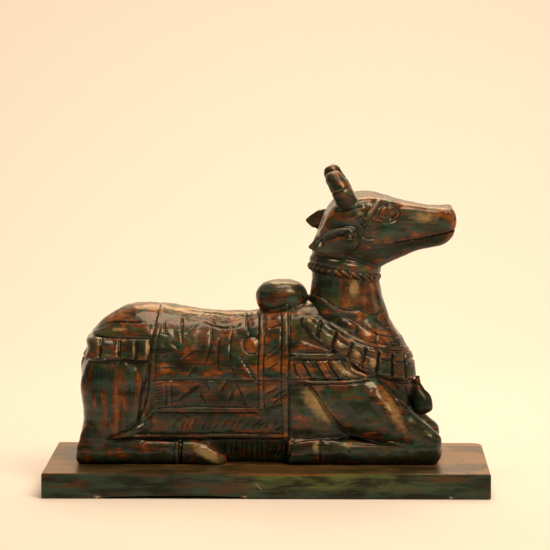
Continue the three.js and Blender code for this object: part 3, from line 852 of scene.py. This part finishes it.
# %% Upper arm and fore shank
arm_back = [(41.5, 108.7), (51.5, 95.3), (65.5, 75.5), (80.5, 60.5), (97, 54.3), (120.1, 49.5)]
around_arm = flank & (z < 112) & (z > 46) & (x > 20) & (x < 150)
gap, _, side = along_line(drawn(arm_back), x[around_arm], z[around_arm])
from_edge = np.zeros(len(points))
from_edge[around_arm] = side * gap
before_knee = around_arm * step(132 - x, 36) * step(111 - z, 8)
arm_rise, channel_depth = 3.2, 2.0
height += arm_rise * before_knee * step(from_edge - 1.5, 3) * step(34 - from_edge, 44)
height -= channel_depth * before_knee * step(-from_edge, 2) * step(14 + from_edge, 20)
swelling([(106.8, 102.5), (116.0, 91.2), (128.2, 76.4), (142.4, 60.8)], 22, 3.0)
swelling([(37, 104), (48, 88), (68, 66)], 20, 2.4)
for width, depth, taper, path in (
    (6, 2.4, 0.2, arm_back),
    (2.6, 1.8, 0.1, [(25.5, 50.2), (41.8, 52.8), (64.1, 53.8), (79.4, 54.3)]),
    (2.0, 1.6, 0.03, [(53.8, 53.3), (54.4, 41.0), (53.6, 28.7)]),
    (2.4, 1.2, 0.03, [(84.0, 57.4), (83.1, 48.1), (83.7, 38.9)]),
    (3.0, 2.0, 0.03, [(27.0, 52.2), (24.0, 41.0), (19.4, 25.6)]),
):
    v_cut(path, width, depth, taper)
knee_view = (x, z, normals[:, 1] ** 2 > 0.02)
for path in (
    [(121.1, 103.6), (133.3, 91.2), (148.5, 80.0)],
    [(139.4, 106.6), (143.5, 95.3), (146.5, 84.1)],
    [(128.2, 109.7), (135.3, 101.5)],
):
    v_cut(path, 2.2, 1.4, 0.2, knee_view)

# %% [markdown]
# ## The face
#
# The face is carved in the head's own upright position, so one drawing serves both sides although
# the head is turned. Each side has a double almond round the eye, a brow, a tuft behind it, a crease
# on the cheek and the line of the mouth. Rings are cut round the horns and a rosette in the ear.

# %% The head's own side view
rx, ry, rz = (spot - head_pivot).T
rx, ry = spin(rx, ry, -head_yaw)
ry, rz = spin(ry, rz, -head_roll)
hx, hy, hz = rx + head_pivot[0], ry + head_pivot[1], rz + head_pivot[2]
on_head = (hz > 236) & (hx > 38) | (hx > 128) & (hz > 225)
on_horn = on_head & (np.abs(hy) > 6) & (hz > 288 + 0.45 * (hx - 82)) & (hx < 96)
on_ear = on_head & (np.abs(hy) > 30) & (hx < 94) & (hz < 285)
cheek = on_head & ~on_horn & (np.abs(normals[:, 1]) > 0.2)
head_view, cheek_view, horn_view, ear_view = (
    (hx, hz, among) for among in (on_head, cheek, on_horn, on_ear))

for path in (
    [(103.1, 277.9), (107, 283.5), (111.6, 289.3), (118.5, 292.7), (125.8, 290.5), (134.3, 285)],
    [(103.1, 277.9), (110.5, 275), (117.3, 273.9), (123, 273.9), (128.7, 275.6), (133.2, 279.8),
     (134.3, 285)],
    [(110.5, 281.5), (114, 288.3), (118.5, 290.9), (124, 290.3), (129.8, 284)],
    [(110.5, 281.5), (115, 278), (120.7, 276.9), (125.8, 279.4), (129.8, 284)],
):
    v_cut(path, 1.5, 1.1, 0.02, cheek_view)
iris, iris_radius = (119.8, 284.2), 6.2
from_iris = np.hypot(hx - iris[0], hz - iris[1])
iris_rise = 0.5
height += iris_rise * np.sqrt(np.clip(1 - (from_iris / iris_radius) ** 2, 0, 1)) * cheek
ridge([(98.5, 281.9), (103.5, 286.5), (108.5, 291.5), (112.7, 295.3)], 5, 1.9, cheek_view)

# %% [markdown]
# ## The collar's strands
#
# The swept ring gives the rope its body, but the fused skin softens it. So its strands are cut again,
# as slanted grooves round the neck, and a fine groove parts the rope from the plain band above.

# %% The collar's groove and its rope
from_neck = x - collar_centre[0]
around_collar = (np.hypot(from_neck / 44, y / 40) < 1) & (z > 205) & (z < 240)
below_groove = (z - collar_centre[2]) + from_neck * math.tan(collar_tilt)
groove = np.exp(-((below_groove + 0.2) / 0.9) ** 2) * around_collar
cut = np.maximum(cut, 0.5 * groove)
strand_count, strand_slant = 24, 0.97
turn_round = np.arctan2(y / collar_wide, from_neck / collar_long)
strand = np.clip((np.cos(strand_count * turn_round + strand_slant * below_groove) - 0.5) / 0.5, 0, 1)
on_rope = step(-0.4 - below_groove, 3) * step(below_groove + 8.6, 1.5) * around_collar
cut = np.maximum(cut, 1.7 * strand * on_rope * step(x - 62, 20))

# %% Tuft, cheek, mouth, ears and horns
height += 1.2 * np.exp(-(((hx - 97) / 7.5) ** 2 + ((hz - 272) / 12) ** 2) ** 2) * cheek
for _ in range(34):
    px, pz = 96.5 + chance.normal() * 3.4, 272 + chance.normal() * 6
    bend, length = chance.uniform(0, math.pi), chance.uniform(2, 4.5)
    hair = [(px, pz), (px + length * math.cos(bend), pz + length * math.sin(bend))]
    v_cut(hair, 1.3, 1.0, view=cheek_view)
ridge([(95, 259), (101, 256.8), (108, 256.2)], 2.6, 0.9, cheek_view)
ridge([(186, 288), (186.2, 277), (185, 266)], 7, 0.7, cheek_view)
rosette = (80.5, 260.6)
from_rosette = np.hypot(hx - rosette[0], hz - rosette[1])
height += 0.8 * np.exp(-((from_rosette / 2.6) ** 4)) * on_ear
horn_root_view = (hx, hz, on_head & (np.abs(hy) > 8))
for width, depth, taper, view, path in (
    (2.0, 1.3, 0.18, cheek_view, [(91, 264), (98.5, 259), (108, 258.8)]),
    (2.2, 1.6, 0.05, head_view, [(193, 265), (182, 261.6), (171, 258.7), (153, 255), (139, 253.4),
                                 (126, 253)]),
    (2.0, 1.2, 0.18, head_view, [(188.5, 281), (191, 277), (189, 272.5)]),
    (1.7, 1.2, 0.01, horn_view, [(62.3, 303.0), (73.5, 308.2), (85.8, 313.9)]),
    (1.7, 1.2, 0.01, horn_view, [(59.2, 324.2), (66.3, 327.3), (73.5, 329.9)]),
    (2.6, 1.8, 0.18, horn_root_view, [(66, 286), (80, 288), (96, 292)]),
    (6.5, 3.0, 0.25, ear_view, [(45.9, 252.5), (57.2, 259.2), (69.4, 263.8), (78.6, 266.9)]),
    (1.3, 0.9, 0.001, ear_view, circle(rosette, 3.2, 0, 14)),
):
    v_cut(path, width, depth, taper, view)

# %% [markdown]
# ## The hand of the carver
#
# No carved plane is quite flat. Slow waves of a few tenths of a millimetre, from sums of sines
# whose directions are drawn once from a fixed seed, stand for the gouge's passes and the sanding.

# %% Gouge waves, and the skin put back
waves, wave_share = np.zeros(len(points)), 0.6
for size_mm, rise in ((46, 0.28), (23, 0.2), (12, 0.12), (6, 0.06)):
    for _ in range(5):
        way = chance.normal(size=3)
        way *= 2 * np.pi / (size_mm * np.linalg.norm(way))
        waves += rise * np.sin(spot @ way + chance.uniform(0, 2 * np.pi))

relief = height - cut
carved = points + normals * ((relief + waves * wave_share) * mm)[:, None]
waist = 4.4 * np.exp(-(((z - 76) / 24) ** 2)) * step(-168 - x, 40)
under_strap = 5.5 * np.exp(-(((z - 142) / 9) ** 2)) * step(-178 - x, 18)
carved[:, 0] += (waist + under_strap) * mm
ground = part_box("bull")[0].z
carved[:, 2] = np.maximum(carved[:, 2], ground)
bull.data.vertices.foreach_set("co", carved.astype(np.float32).ravel())
bull.data.update()
print("relief from", round(relief.min(), 2), "to", round(relief.max(), 2), "mm")

# %% [markdown]
# ## Wear and dirt, measured from the form
#
# Paint stays dark in the cuts and rubs off where the carving stands proud. Both can be measured:
# a point that lies above the average of its neighbourhood is an edge, and one below it a hollow.
# The measure is kept on the skin's points, so the finish follows the carving wherever it goes.

# %% Proudness of each point
def proudness(rounds):
    """How far each point stands out from the smoothed skin, along its normal, in millimetres."""
    eased = smoothed(carved, both_ways, rounds)
    return np.einsum("ij,ij->i", carved - eased, normals) / mm


fine_rounds, broad_rounds = 8, 60
fine, broad = proudness(fine_rounds), proudness(broad_rounds)
even, fine_share, broad_share = 0.5, 1.6, 0.5
worn = np.clip(even + fine_share * fine + broad_share * broad, 0, 1)
print("fine relief to", round(np.abs(fine).max(), 2), "mm, broad to", round(np.abs(broad).max(), 2))

# %% [markdown]
# ## Where hands have rubbed it, and painted highlights
#
# Some places are rubbed more than the form alone explains, such as the hoof and the garland's blocks.
# The same pale colour gives painted highlights on the hoof, muzzle, brow, horn feet, neck, the top of the
# rump and back, the flank behind the arm and the arm's ridge. Others keep a greener or a browner paint.
# Each is a soft oval in the side view, with an amount.

# %% Rubbed places, painted highlights and tones
def patch(centre, halves, lean=0.0, view=side_view, power=1.5):
    """A soft oval in a view: 1 in the middle and 0 outside, leaned by an angle. It is e to the minus
    power of the squared distance, measured in half sizes."""
    u, v, among = view
    along, across = spin(u - centre[0], v - centre[1], -lean)
    return np.exp(-(((along / halves[0]) ** 2 + (across / halves[1]) ** 2) ** power)) * among


# centre, half sizes, lean, amount
bare_and_highlight_places = (
    # the hind hoof: rubbed bare, with a painted highlight on its upper front
    ((-61.0, 37.5), (19, 5.5), -0.53, 1.0),
    ((49.4, 44.5), (3.6, 6.5), 0.0, 1.0),
    # a painted highlight on the swelling of the flank behind the arm
    ((52.0, 86.0), (27, 10), -0.86, 0.92),
    ((83.5, 47.5), (3.0, 6), 0.0, 0.8),
    ((-121.5, 145.5), (2.6, 8), 0.0, 1.0),
    # the neck: a painted highlight, with rubbed chips
    ((88.3, 205.0), (5.5, 10), 0.0, 1.0),
    ((43.8, 172.3), (5, 2.6), 0.3, 1.0),
    ((86.5, 152.8), (5, 2.4), -0.5, 0.8),
    ((91.0, 139.0), (4, 5.0), 0.4, 0.95),
    ((107.0, 130.0), (4.0, 5.0), 0.2, 1.0),
    ((76.0, 147.0), (3.2, 4.0), 0.4, 0.7),
    # a painted highlight along the arm's ridge
    ((129.0, 80.0), (30, 7.5), -1.08, 0.64),
    # painted highlights along the top of the rump and of the back
    ((-150.0, 177.0), (34, 9), 0.0, 0.44),
    ((-70.0, 178.0), (60, 6), -0.05, 0.5),
    ((-150.0, 162.5), (9, 2.4), 0.1, 0.85),
    ((79.0, 123.0), (17, 4.5), -0.6, 0.72),
    ((84.0, 200.0), (17, 22), 0.0, 0.42),
    ((88.0, 136.0), (32, 12), -0.6, 0.40),
    ((14.0, 198.0), (20, 9), 0.0, 0.36),
)
tone_places = (
    ((3, 140), (13, 44), 0.0, 0.075),
    ((-158, 92), (20, 32), 0.0, 0.05),
    ((-50, 92), (60, 20), 0.0, -0.07),
    ((-100, 177), (84, 13), 0.0, 0.07),
    ((-50, 64), (60, 7), 0.0, 0.03),
    ((80, 88), (34, 26), 0.0, -0.05),
    ((30, 88), (14, 22), 0.0, -0.05),
    ((14, 193), (30, 20), 0.0, 0.02),
    ((-20, 42), (28, 10), 0.0, -0.06),
    ((-150, 172), (36, 16), 0.0, 0.05),
    # the arm's ridge: a rust tone as part of its painted highlight
    ((129, 80), (30, 9), -1.08, 0.2),
    ((104, 130), (46, 14), -0.5, -0.005),
    ((50, 170), (26, 12), -0.5, -0.05),
    ((60, 202), (14, 14), 0.0, -0.10),
    ((102, 196), (9, 14), 0.0, 0.08),
    ((-60, 145), (50, 26), 0.0, -0.025),
    ((-38, 168), (44, 8), 0.0, 0.05),
    ((62, 40), (36, 12), 0.0, -0.06),
    ((156, 86), (14, 22), 0.0, -0.12),
    ((36, 160), (14, 14), 0.0, -0.05),
    ((-140, 40), (26, 6), 0.0, 0.06),
    ((-15.6, 146.8), (7, 7), 0.0, 0.08),
    ((-173, 90), (2.6, 26), 0.0, -0.14),
    ((-166.5, 86), (2.8, 28), 0.0, 0.09),
    ((-159.8, 92), (3.0, 30), 0.0, -0.15),
    ((-152, 82), (4.0, 26), 0.0, 0.07),
)
head_tones = (
    ((188, 268), (9, 18), 0.0, 0.20),
    ((119, 283.5), (9, 7), 0.0, 0.09),
    ((130, 269), (9, 7), 0.0, 0.13),
    ((134, 257), (38, 4), 0.11, 0.11),
    ((121, 266), (10, 5), 0.0, -0.12),
    ((150, 246), (30, 5), 0.25, -0.04),
    ((100, 240), (24, 12), 0.0, -0.06),
)
outside_view = (x, z, flank | (normals[:, 2] > 0.2))
bare_and_highlight = np.zeros(len(points))
for centre, halves, lean, amount in bare_and_highlight_places:
    bare_and_highlight = np.maximum(bare_and_highlight, amount * patch(centre, halves, lean, outside_view))
for at, lean, amount in zip(dividers[1:-1], divider_lean, (0.5, 0.34, 0.66)):
    bare_and_highlight = np.maximum(bare_and_highlight, amount * patch((at - lean / 2 - 2.6, 143), (8, 1.9), math.pi / 2))
# painted highlights: on the muzzle, along the brow and at the foot of the horns
muzzle_shine = patch((160, 277.5), (19, 8), 0, cheek_view, 1)
brow_shine = patch((103, 287), (7, 2.2), math.atan2(0.68, 0.73), cheek_view, 1)
horn_foot_shine = patch((92, 285), (5, 4), 0, (hx, hz, on_head & flank), 1)
for shine, amount in ((muzzle_shine, 0.78), (brow_shine, 0.7), (horn_foot_shine, 0.75)):
    bare_and_highlight = np.maximum(bare_and_highlight, amount * shine)
tone = np.zeros(len(points))
for places, view in ((tone_places, side_view), (head_tones, head_view)):
    for centre, halves, lean, amount in places:
        tone += amount * patch(centre, halves, lean, view)

# %% [markdown]
# ## Which way the strokes run, and where shade is painted
#
# The rubbed strokes lie along the figure, but stand upright on the thigh and the neck. Painted shade
# darkens the belly, the breast between the forelegs, the lower legs and what faces down (shade), and
# there the clear coat is thinner and reflects less (sheen). All of it is kept on the points for the paint.

# %% Strokes, shade and sheen
on_neck = 0.6 * step(z - 184, 10) * step(228 - z, 10) * (x > 30) * (x < 130)
on_thigh = step(-121 - x, 10) * step(rump_low - z, 6) * step(z - 56, 10)
# painted shade: darker towards the bottom, on the breast, on what faces down and in the patches below
shade = 1 - 0.1 * step(62 - z, 24) - 0.08 * step(-100 - x, 30) * step(70 - z, 30)
shade -= 0.42 * step(x - 118, 20) * step(z - 60, 20) * step(150 - z, 30)
shade -= 0.3 * step(x - 128, 12) * step(z - 80, 16) * step(112 - z, 8)
shade -= 0.25 * np.clip(-2 * normals[:, 2], 0, 1)
for amount, centre, halves in (
    (0.38, (-55, 92), (60, 22)),
    (0.15, (-158, 92), (30, 40)),
    (0.5, (-138, 126), (14, 8)),
    (0.25, (-55, 145), (44, 24)),
    (0.2, (-50, 66), (66, 20)),
):
    shade -= amount * patch(centre, halves)
# the clear coat is thinner where shade is painted, and most of all on what faces down, so these reflect less
sheen = shade - 0.75 * np.clip(-2.5 * normals[:, 2], 0, 1)
full_cut = 1.6
kept = {
    "worn": worn, "cut": np.clip(cut / full_cut, 0, 1), "bare_and_highlight": bare_and_highlight, "tone": tone,
    "upright": np.maximum(on_thigh, on_neck), "shade": np.clip(shade, 0, 1), "sheen": np.clip(sheen, 0, 1),
}
for name, values in kept.items():
    layer = bull.data.attributes.new(name, "FLOAT", "POINT")
    layer.data.foreach_set("value", values.astype(np.float32))

# %% [markdown]
# ## Fewer faces
#
# The even squares are wasted on smooth places. Collapsing edges keeps small faces at the cuts and
# lets the rest grow, down to the number that a piece may have.

# %% Thin the skin
def smooth_shaded(mesh):
    """Shades every face smooth."""
    mesh.polygons.foreach_set("use_smooth", np.ones(len(mesh.polygons), bool))
    mesh.update()


face_limit = 190_000
thin = bull.modifiers.new("thin", "DECIMATE")
thin.ratio = face_limit / (2 * len(squares))
applied(bull)
smooth_shaded(bull.data)
faces, corners = len(bull.data.polygons), len(bull.data.loops)
print("carved skin:", faces, "faces, as triangles:", corners - 2 * faces, "; layers:", list(kept))

# %% [markdown]
# ## Rubbed paint
#
# The wood was painted dark green and black over a copper brown and rubbed back in streaks. Each
# layer is a mask times a colour. A small class makes a node's output behave like a number, so the
# masks below read as plain sums.

# %% Shader values as Python values
class Value:
    """A node's output that Python's operators work on: each adds one Math node."""

    def __init__(self, tree, socket):
        self.tree, self.socket = tree, socket

    def math(self, operation, first, second):
        """A Math node's result for two values, each a socket or a number."""
        node = self.tree.nodes.new("ShaderNodeMath")
        node.operation = operation
        for place, given in enumerate((first, second)):
            if isinstance(given, Value):
                self.tree.links.new(given.socket, node.inputs[place])
            else:
                node.inputs[place].default_value = given
        return Value(self.tree, node.outputs[0])

    def __add__(self, other):
        return self.math("ADD", self, other)

    def __sub__(self, other):
        return self.math("SUBTRACT", self, other)

    def __rsub__(self, other):
        return self.math("SUBTRACT", other, self)

    def __mul__(self, other):
        return self.math("MULTIPLY", self, other)

    __radd__, __rmul__ = __add__, __mul__


class Finish:
    """A material under construction: node() adds any node, the rest are the few used over and over."""

    def __init__(self, name):
        self.material = bpy.data.materials.new(name)
        self.material.use_nodes = True
        self.tree = self.material.node_tree
        self.surface = self.tree.nodes["Principled BSDF"]
        self.base = None

    def node(self, kind, settings=None, sockets=None, output=0):
        """Adds a node with its settings and its sockets' values, and gives one output."""
        node = self.tree.nodes.new(kind)
        for name, value in (settings or {}).items():
            setattr(node, name, value)
        for name, value in (sockets or {}).items():
            self.feed(node.inputs[name], value)
        return Value(self.tree, node.outputs[output])

    def feed(self, socket, value):
        """Links a value to a socket, or sets a plain number or colour on it."""
        if isinstance(value, Value):
            self.tree.links.new(value.socket, socket)
        else:
            socket.default_value = value

    def coordinates(self):
        """The place on the object, in metres."""
        return self.node("ShaderNodeTexCoord", output="Object")

    def noise(self, stretch, detail=4, roughness=0.6, shift=(0, 0, 0), distortion=0.0):
        """Noise with so many swings a metre along x, y and z, moved by shift: 0 to 1, 0.5 on average."""
        place = self.node("ShaderNodeMapping", sockets={
            "Vector": self.coordinates(), "Scale": stretch, "Location": shift})
        return self.node("ShaderNodeTexNoise", sockets={
            "Vector": place, "Scale": 1.0, "Detail": detail,
            "Roughness": roughness, "Distortion": distortion})

    def band(self, value, low, high):
        """0 at low, 1 at high and smooth between, whichever of the two is larger."""
        return self.node("ShaderNodeMapRange", {"interpolation_type": "SMOOTHSTEP"},
                         {"Value": value, "From Min": low, "From Max": high})

    def mix(self, share, first, second):
        """The first colour with a share of the second in it."""
        return self.node("ShaderNodeMix", {"data_type": "RGBA"}, {0: share, 6: first, 7: second}, 2)

    def lay(self, share, tint):
        """Lays a colour over what is there, by its share."""
        self.base = self.mix(share, self.base, tint)

    def layer(self, name):
        """A value that the skin's points keep."""
        return self.node("ShaderNodeAttribute", {"attribute_name": name}, output="Fac")

    def bump(self, value, distance, strength):
        """A normal tilted as if the value raised the surface by up to the distance in metres."""
        return self.node("ShaderNodeBump", sockets={
            "Height": value, "Distance": distance, "Strength": strength})

    def put_on(self, obj, sockets):
        """Gives the shader its sockets' values and the object this material alone."""
        for name, value in sockets.items():
            self.feed(self.surface.inputs[name], value)
        obj.data.materials.clear()
        obj.data.materials.append(self.material)


# %% [markdown]
# ## The bull's paint
#
# From below: green and teal, olive clouds, rust and orange where the copper brown shows through, soot
# in hollows and cuts, painted shade on the sheltered parts, rubbed edges, and last the bare wood in small
# chips and patches, which on the muzzle, the brow, the neck, the top of the back and round the upper arm
# are painted highlights. Noise stretched along the figure gives the strokes. A thin clear coat, as of old
# varnish, gives the sharp lights.

# %% The bull's paint
# black: soot in the cuts and hollows, and also the painted shade
soot_and_shade = (0.0035, 0.0035, 0.002, 1)
deep_green = (0.017, 0.026, 0.011, 1)
teal = (0.014, 0.052, 0.044, 1)
olive = (0.060, 0.062, 0.014, 1)
rust = (0.085, 0.024, 0.006, 1)
orange = (0.215, 0.070, 0.009, 1)
rubbed = (0.150, 0.080, 0.028, 1)
# pale: bare wood, and also the colour of the painted highlights
bare_wood_and_highlight = (0.34, 0.24, 0.115, 1)

paint = Finish("painted_carving")
worn_here, cut_here, bare_and_highlight_here, tone_here, upright_here, shade_here, sheen_here = (
    paint.layer(name) for name in ("worn", "cut", "bare_and_highlight", "tone", "upright", "shade", "sheen"))
lying = paint.noise((46, 60, 92), shift=(1, 4, 2), distortion=0.7)
standing = paint.noise((100, 50, 22), shift=(9, 2, 4), distortion=0.6)
cool = paint.noise((50, 60, 80), 3, 0.55, shift=(5, 3, 6), distortion=0.7)
brush = paint.noise((24, 120, 420), shift=(2, 7, 5))
brush_up = paint.noise((380, 120, 24), shift=(6, 1, 3))
fields = paint.noise((9, 14, 16), 2, 0.5, shift=(3, 1, 7))
depth = paint.noise((26, 40, 75), shift=(8, 5, 9))
chips = paint.noise((210, 210, 260), 3, 0.65, shift=(4, 4, 1))
grain = paint.noise((26, 300, 420), 3)
pores = paint.noise((500, 500, 500), 2, 0.5)
lie = 1 - upright_here
strokes = (brush - 0.5) * lie + (brush_up - 0.5) * upright_here
hue = lying * lie + standing * upright_here + strokes * 0.13
hue = hue + (fields - 0.5) * 0.25 + (worn_here - 0.5) * 0.1 + tone_here

paint.base = deep_green
paint.lay(paint.band(cool + strokes * 0.15, 0.47, 0.60) * 0.85, teal)
paint.lay(paint.band(depth + strokes * 0.2, 0.53, 0.66) * 0.7, olive)
paint.lay(paint.band(hue, 0.485, 0.59), rust)
paint.lay(paint.band(hue, 0.57, 0.70) * 0.85, orange)
paint.lay(paint.band(depth + strokes * 0.4, 0.54, 0.34) * 0.75, soot_and_shade)
# painted shade: black laid where the shade layer is low, on the belly, the breast, the lower legs and what
# faces down
paint.lay((1 - shade_here) * 0.9, soot_and_shade)
paint.lay(paint.band(worn_here, 0.42, 0.12) * 0.85, soot_and_shade)
paint.lay(paint.band(worn_here + strokes * 0.5, 0.88, 1.2) * 0.45, rubbed)
paint.lay(paint.band(cut_here, 0.06, 0.6) * 0.93, soot_and_shade)
# pale patches: bare wood where rubbed, and the painted highlights
paint.lay(paint.band(bare_and_highlight_here + (chips - 0.5) * 0.9 + strokes * 0.45, 0.25, 1.0) * 0.8, bare_wood_and_highlight)
paint.lay(paint.band(worn_here + (chips - 0.5) * 1.3, 1.18, 1.3) * 0.6, bare_wood_and_highlight)
paint.put_on(bull, {
    "Base Color": paint.base, "Roughness": 0.34 + 0.2 * depth + 0.1 * bare_and_highlight_here, "IOR": 1.2,
    "Normal": paint.bump(grain + 0.5 * pores, 0.0005, 0.7),
    "Coat Weight": 0.1 + 0.9 * sheen_here, "Coat Roughness": 0.22, "Coat IOR": 1.44,
})

# %% [markdown]
# ## The plinth's paint
#
# The plank has the same paint, brushed along it: dark green clouds, an olive glow right of the middle
# and rust to the left. Its top is worn to brown wood, made lighter as a painted reflection of the pale
# backdrop. A few pale nicks sit on the lowest edge, a scratch in the front, a rusty line on the front's
# upper edge, and a painted shadow and reflection of the bull on the top before it.

# %% The plinth's paint
board = Finish("painted_plinth")
board_x, board_y, board_z = (
    board.node("ShaderNodeSeparateXYZ", sockets={"Vector": board.coordinates()}, output=axis)
    for axis in "XYZ")
streaks = board.noise((16, 60, 520), 5, 0.65)
clouds = board.noise((26, 30, 95), shift=(5, 2, 1), distortion=0.4)
rusty = board.noise((30, 40, 120), shift=(2, 8, 4), distortion=0.5)
blotches = board.noise((15, 20, 55), 3, 0.5, shift=(7, 3, 2), distortion=0.3)
nicks = board.noise((900, 30, 500), 2, shift=(1, 5, 3))
fine_line = (streaks - 0.5) * 0.4
blotched = blotches + fine_line * 0.5
clouded = clouds + fine_line

board.base = (0.010, 0.014, 0.008, 1)
board.lay(board.band(clouded, 0.36, 0.62), (0.028, 0.052, 0.036, 1))
glow = board.band(board_x, -0.055, 0.02) * board.band(board_x, 0.215, 0.06)
glow = glow * board.band(board_z, 0.003, 0.016)
board.lay(glow * board.band(clouded, 0.34, 0.62) * 0.9, (0.100, 0.125, 0.030, 1))
rust_share = rusty + fine_line - 0.05 * glow + 0.05 * board.band(board_z, 0.018, 0.025)
board.lay(board.band(rust_share, 0.52, 0.72) * 0.75, (0.080, 0.030, 0.010, 1))
blush = board.band(blotched, 0.55, 0.68) * board.band(board_x, 0.06, -0.08)
board.lay(blush * 0.6, (0.075, 0.022, 0.012, 1))
board.lay(board.band(blotched, 0.46, 0.34) * 0.65, (0.006, 0.008, 0.006, 1))

# %% Edge line, nicks and scratch
edge_line = board.band(board_x, -0.05, -0.02) * board.band(board_x, 0.09, 0.05)
edge_line = edge_line * board.band(board_z, 0.0232, 0.0246) * board.band(streaks, 0.34, 0.46)
board.lay(edge_line * 0.8, (0.150, 0.050, 0.012, 1))
low_edge = board.band(board_z, 0.0036, 0.0026)
for nick_x, reach in ((-0.169, 0.005), (-0.022, 0.0042), (0.185, 0.003)):
    near_nick = board.band(board_x, nick_x - reach, nick_x) * board.band(board_x, nick_x + reach, nick_x)
    board.lay(near_nick * low_edge * board.band(nicks, 0.47, 0.55), (0.62, 0.52, 0.38, 1))
scratch_x, scratch_z = board_x + 0.0075, board_z - 0.013
scratch = 1
for distance, end, inner in ((scratch_x * 0.68 - scratch_z * 0.73, 0.0048, 0.0034),
                             (scratch_x * 0.73 + scratch_z * 0.68, 0.0007, 0.0002)):
    scratch = board.band(distance, -end, -inner) * board.band(distance, end, inner) * scratch
board.lay(scratch * 0.7, (0.32, 0.24, 0.13, 1))

# %% The plinth's top
# the top: dark and worn brown wood, the worn wood lighter as a painted reflection of the pale backdrop
dark_wood, worn_wood_and_reflection, painted_shadow_and_reflection = (0.052, 0.032, 0.012, 1), (0.215, 0.124, 0.044, 1), (0.020, 0.020, 0.010, 1)
worn_share = streaks + (clouds - 0.5) * 1.2 + (blotches - 0.5) * 0.8
tan = board.mix(board.band(worn_share, 0.34, 0.68), dark_wood, worn_wood_and_reflection)
# painted shadow and painted reflection of the bull, on the top before it
front_strip = board.band(board_y, -0.045, -0.058) * board.band(board_x, 0.186, 0.168)
tan = board.mix(front_strip * board.band(board_x, -0.2, -0.186) * 0.75, tan, painted_shadow_and_reflection)
board.lay(board.band(board_z, 0.0250, 0.0258) * 0.9, tan)
board.put_on(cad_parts["plinth"], {
    "Base Color": board.base, "Roughness": 0.2 + 0.2 * clouds, "IOR": 1.27,
    "Normal": board.bump(board.noise((8, 260, 260)), 0.0004, 0.5),
})

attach(bull, "root")
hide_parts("bull")

# %% [markdown]
# ## Floor, backdrop and light
#
# Semi-gloss dark paint shows mostly what it reflects, so the light is what makes it read. A pale
# floor sweeps up behind; from its back it lets the view through. A soft key light stands at the upper
# right in front, a weak one at the side, one on the wall, and a warm one behind for the top edges.

# %% Floor and backdrop
def sweep(width, depth, rise, bend):
    """A floor that curves up into a backdrop: a line, a quarter circle and a line, made wide."""
    turn = np.linspace(0, np.pi / 2, 24)
    ys = np.r_[-depth, depth - bend + bend * np.sin(turn), depth]
    zs = np.r_[0, bend - bend * np.cos(turn), rise]
    sides = np.array([-width, width])
    grid = np.stack([np.broadcast_to(sides, (len(ys), 2)), np.stack([ys, ys], 1), np.stack([zs, zs], 1)], -1)
    first = 2 * np.arange(len(ys) - 1)
    return grid.reshape(-1, 3), np.stack([first, first + 1, first + 3, first + 2], -1)


floor = bpy.data.objects.new("floor", mesh_from("floor", *sweep(width=4, depth=2.2, rise=3.2, bend=1.2)))
smooth_shaded(floor.data)
pale = Finish("pale_floor")
pale.put_on(floor, {"Base Color": (0.76, 0.79, 0.88, 1), "Roughness": 0.8})
shown = pale.node("ShaderNodeMixShader", sockets={
    0: pale.node("ShaderNodeNewGeometry", output="Backfacing"),
    1: Value(pale.tree, pale.surface.outputs[0]),
    2: pale.node("ShaderNodeBsdfTransparent"),
})
pale.feed(pale.tree.nodes["Material Output"].inputs["Surface"], shown)
bpy.context.scene.collection.objects.link(floor)


# %% Lights
def soft_light(name, place, target, size, watts, tint):
    """A square area light that faces its target."""
    lamp = bpy.data.lights.new(name, "AREA")
    lamp.size, lamp.energy, lamp.color = size, watts, tint
    holder = bpy.data.objects.new(name, lamp)
    holder.location = place
    holder.rotation_euler = (Vector(target) - Vector(place)).to_track_quat("-Z", "Y").to_euler()
    bpy.context.scene.collection.objects.link(holder)


warm, figure_centre, wall_centre = (1, 0.71, 0.41), (0, 0, 0.15), (0, 2.2, 0.9)
soft_light("key", (0.9, -1.5, 1.8), figure_centre, 0.9, 40, warm)
soft_light("side", (2.2, -0.3, 0.9), figure_centre, 0.8, 4, warm)
soft_light("wall", (0.2, -0.2, 2.7), wall_centre, 1.6, 71, (1, 0.68, 0.45))
soft_light("back", (0.1, 1.1, 1.5), figure_centre, 1.0, 17, (1, 0.64, 0.32))

world = bpy.data.worlds.new("soft_room")
world.use_nodes = True
room = world.node_tree.nodes["Background"].inputs
room["Color"].default_value = (0.84, 0.78, 0.48, 1)
room["Strength"].default_value = 0.12
bpy.context.scene.world = world
bpy.context.scene.view_settings.view_transform = "Standard"
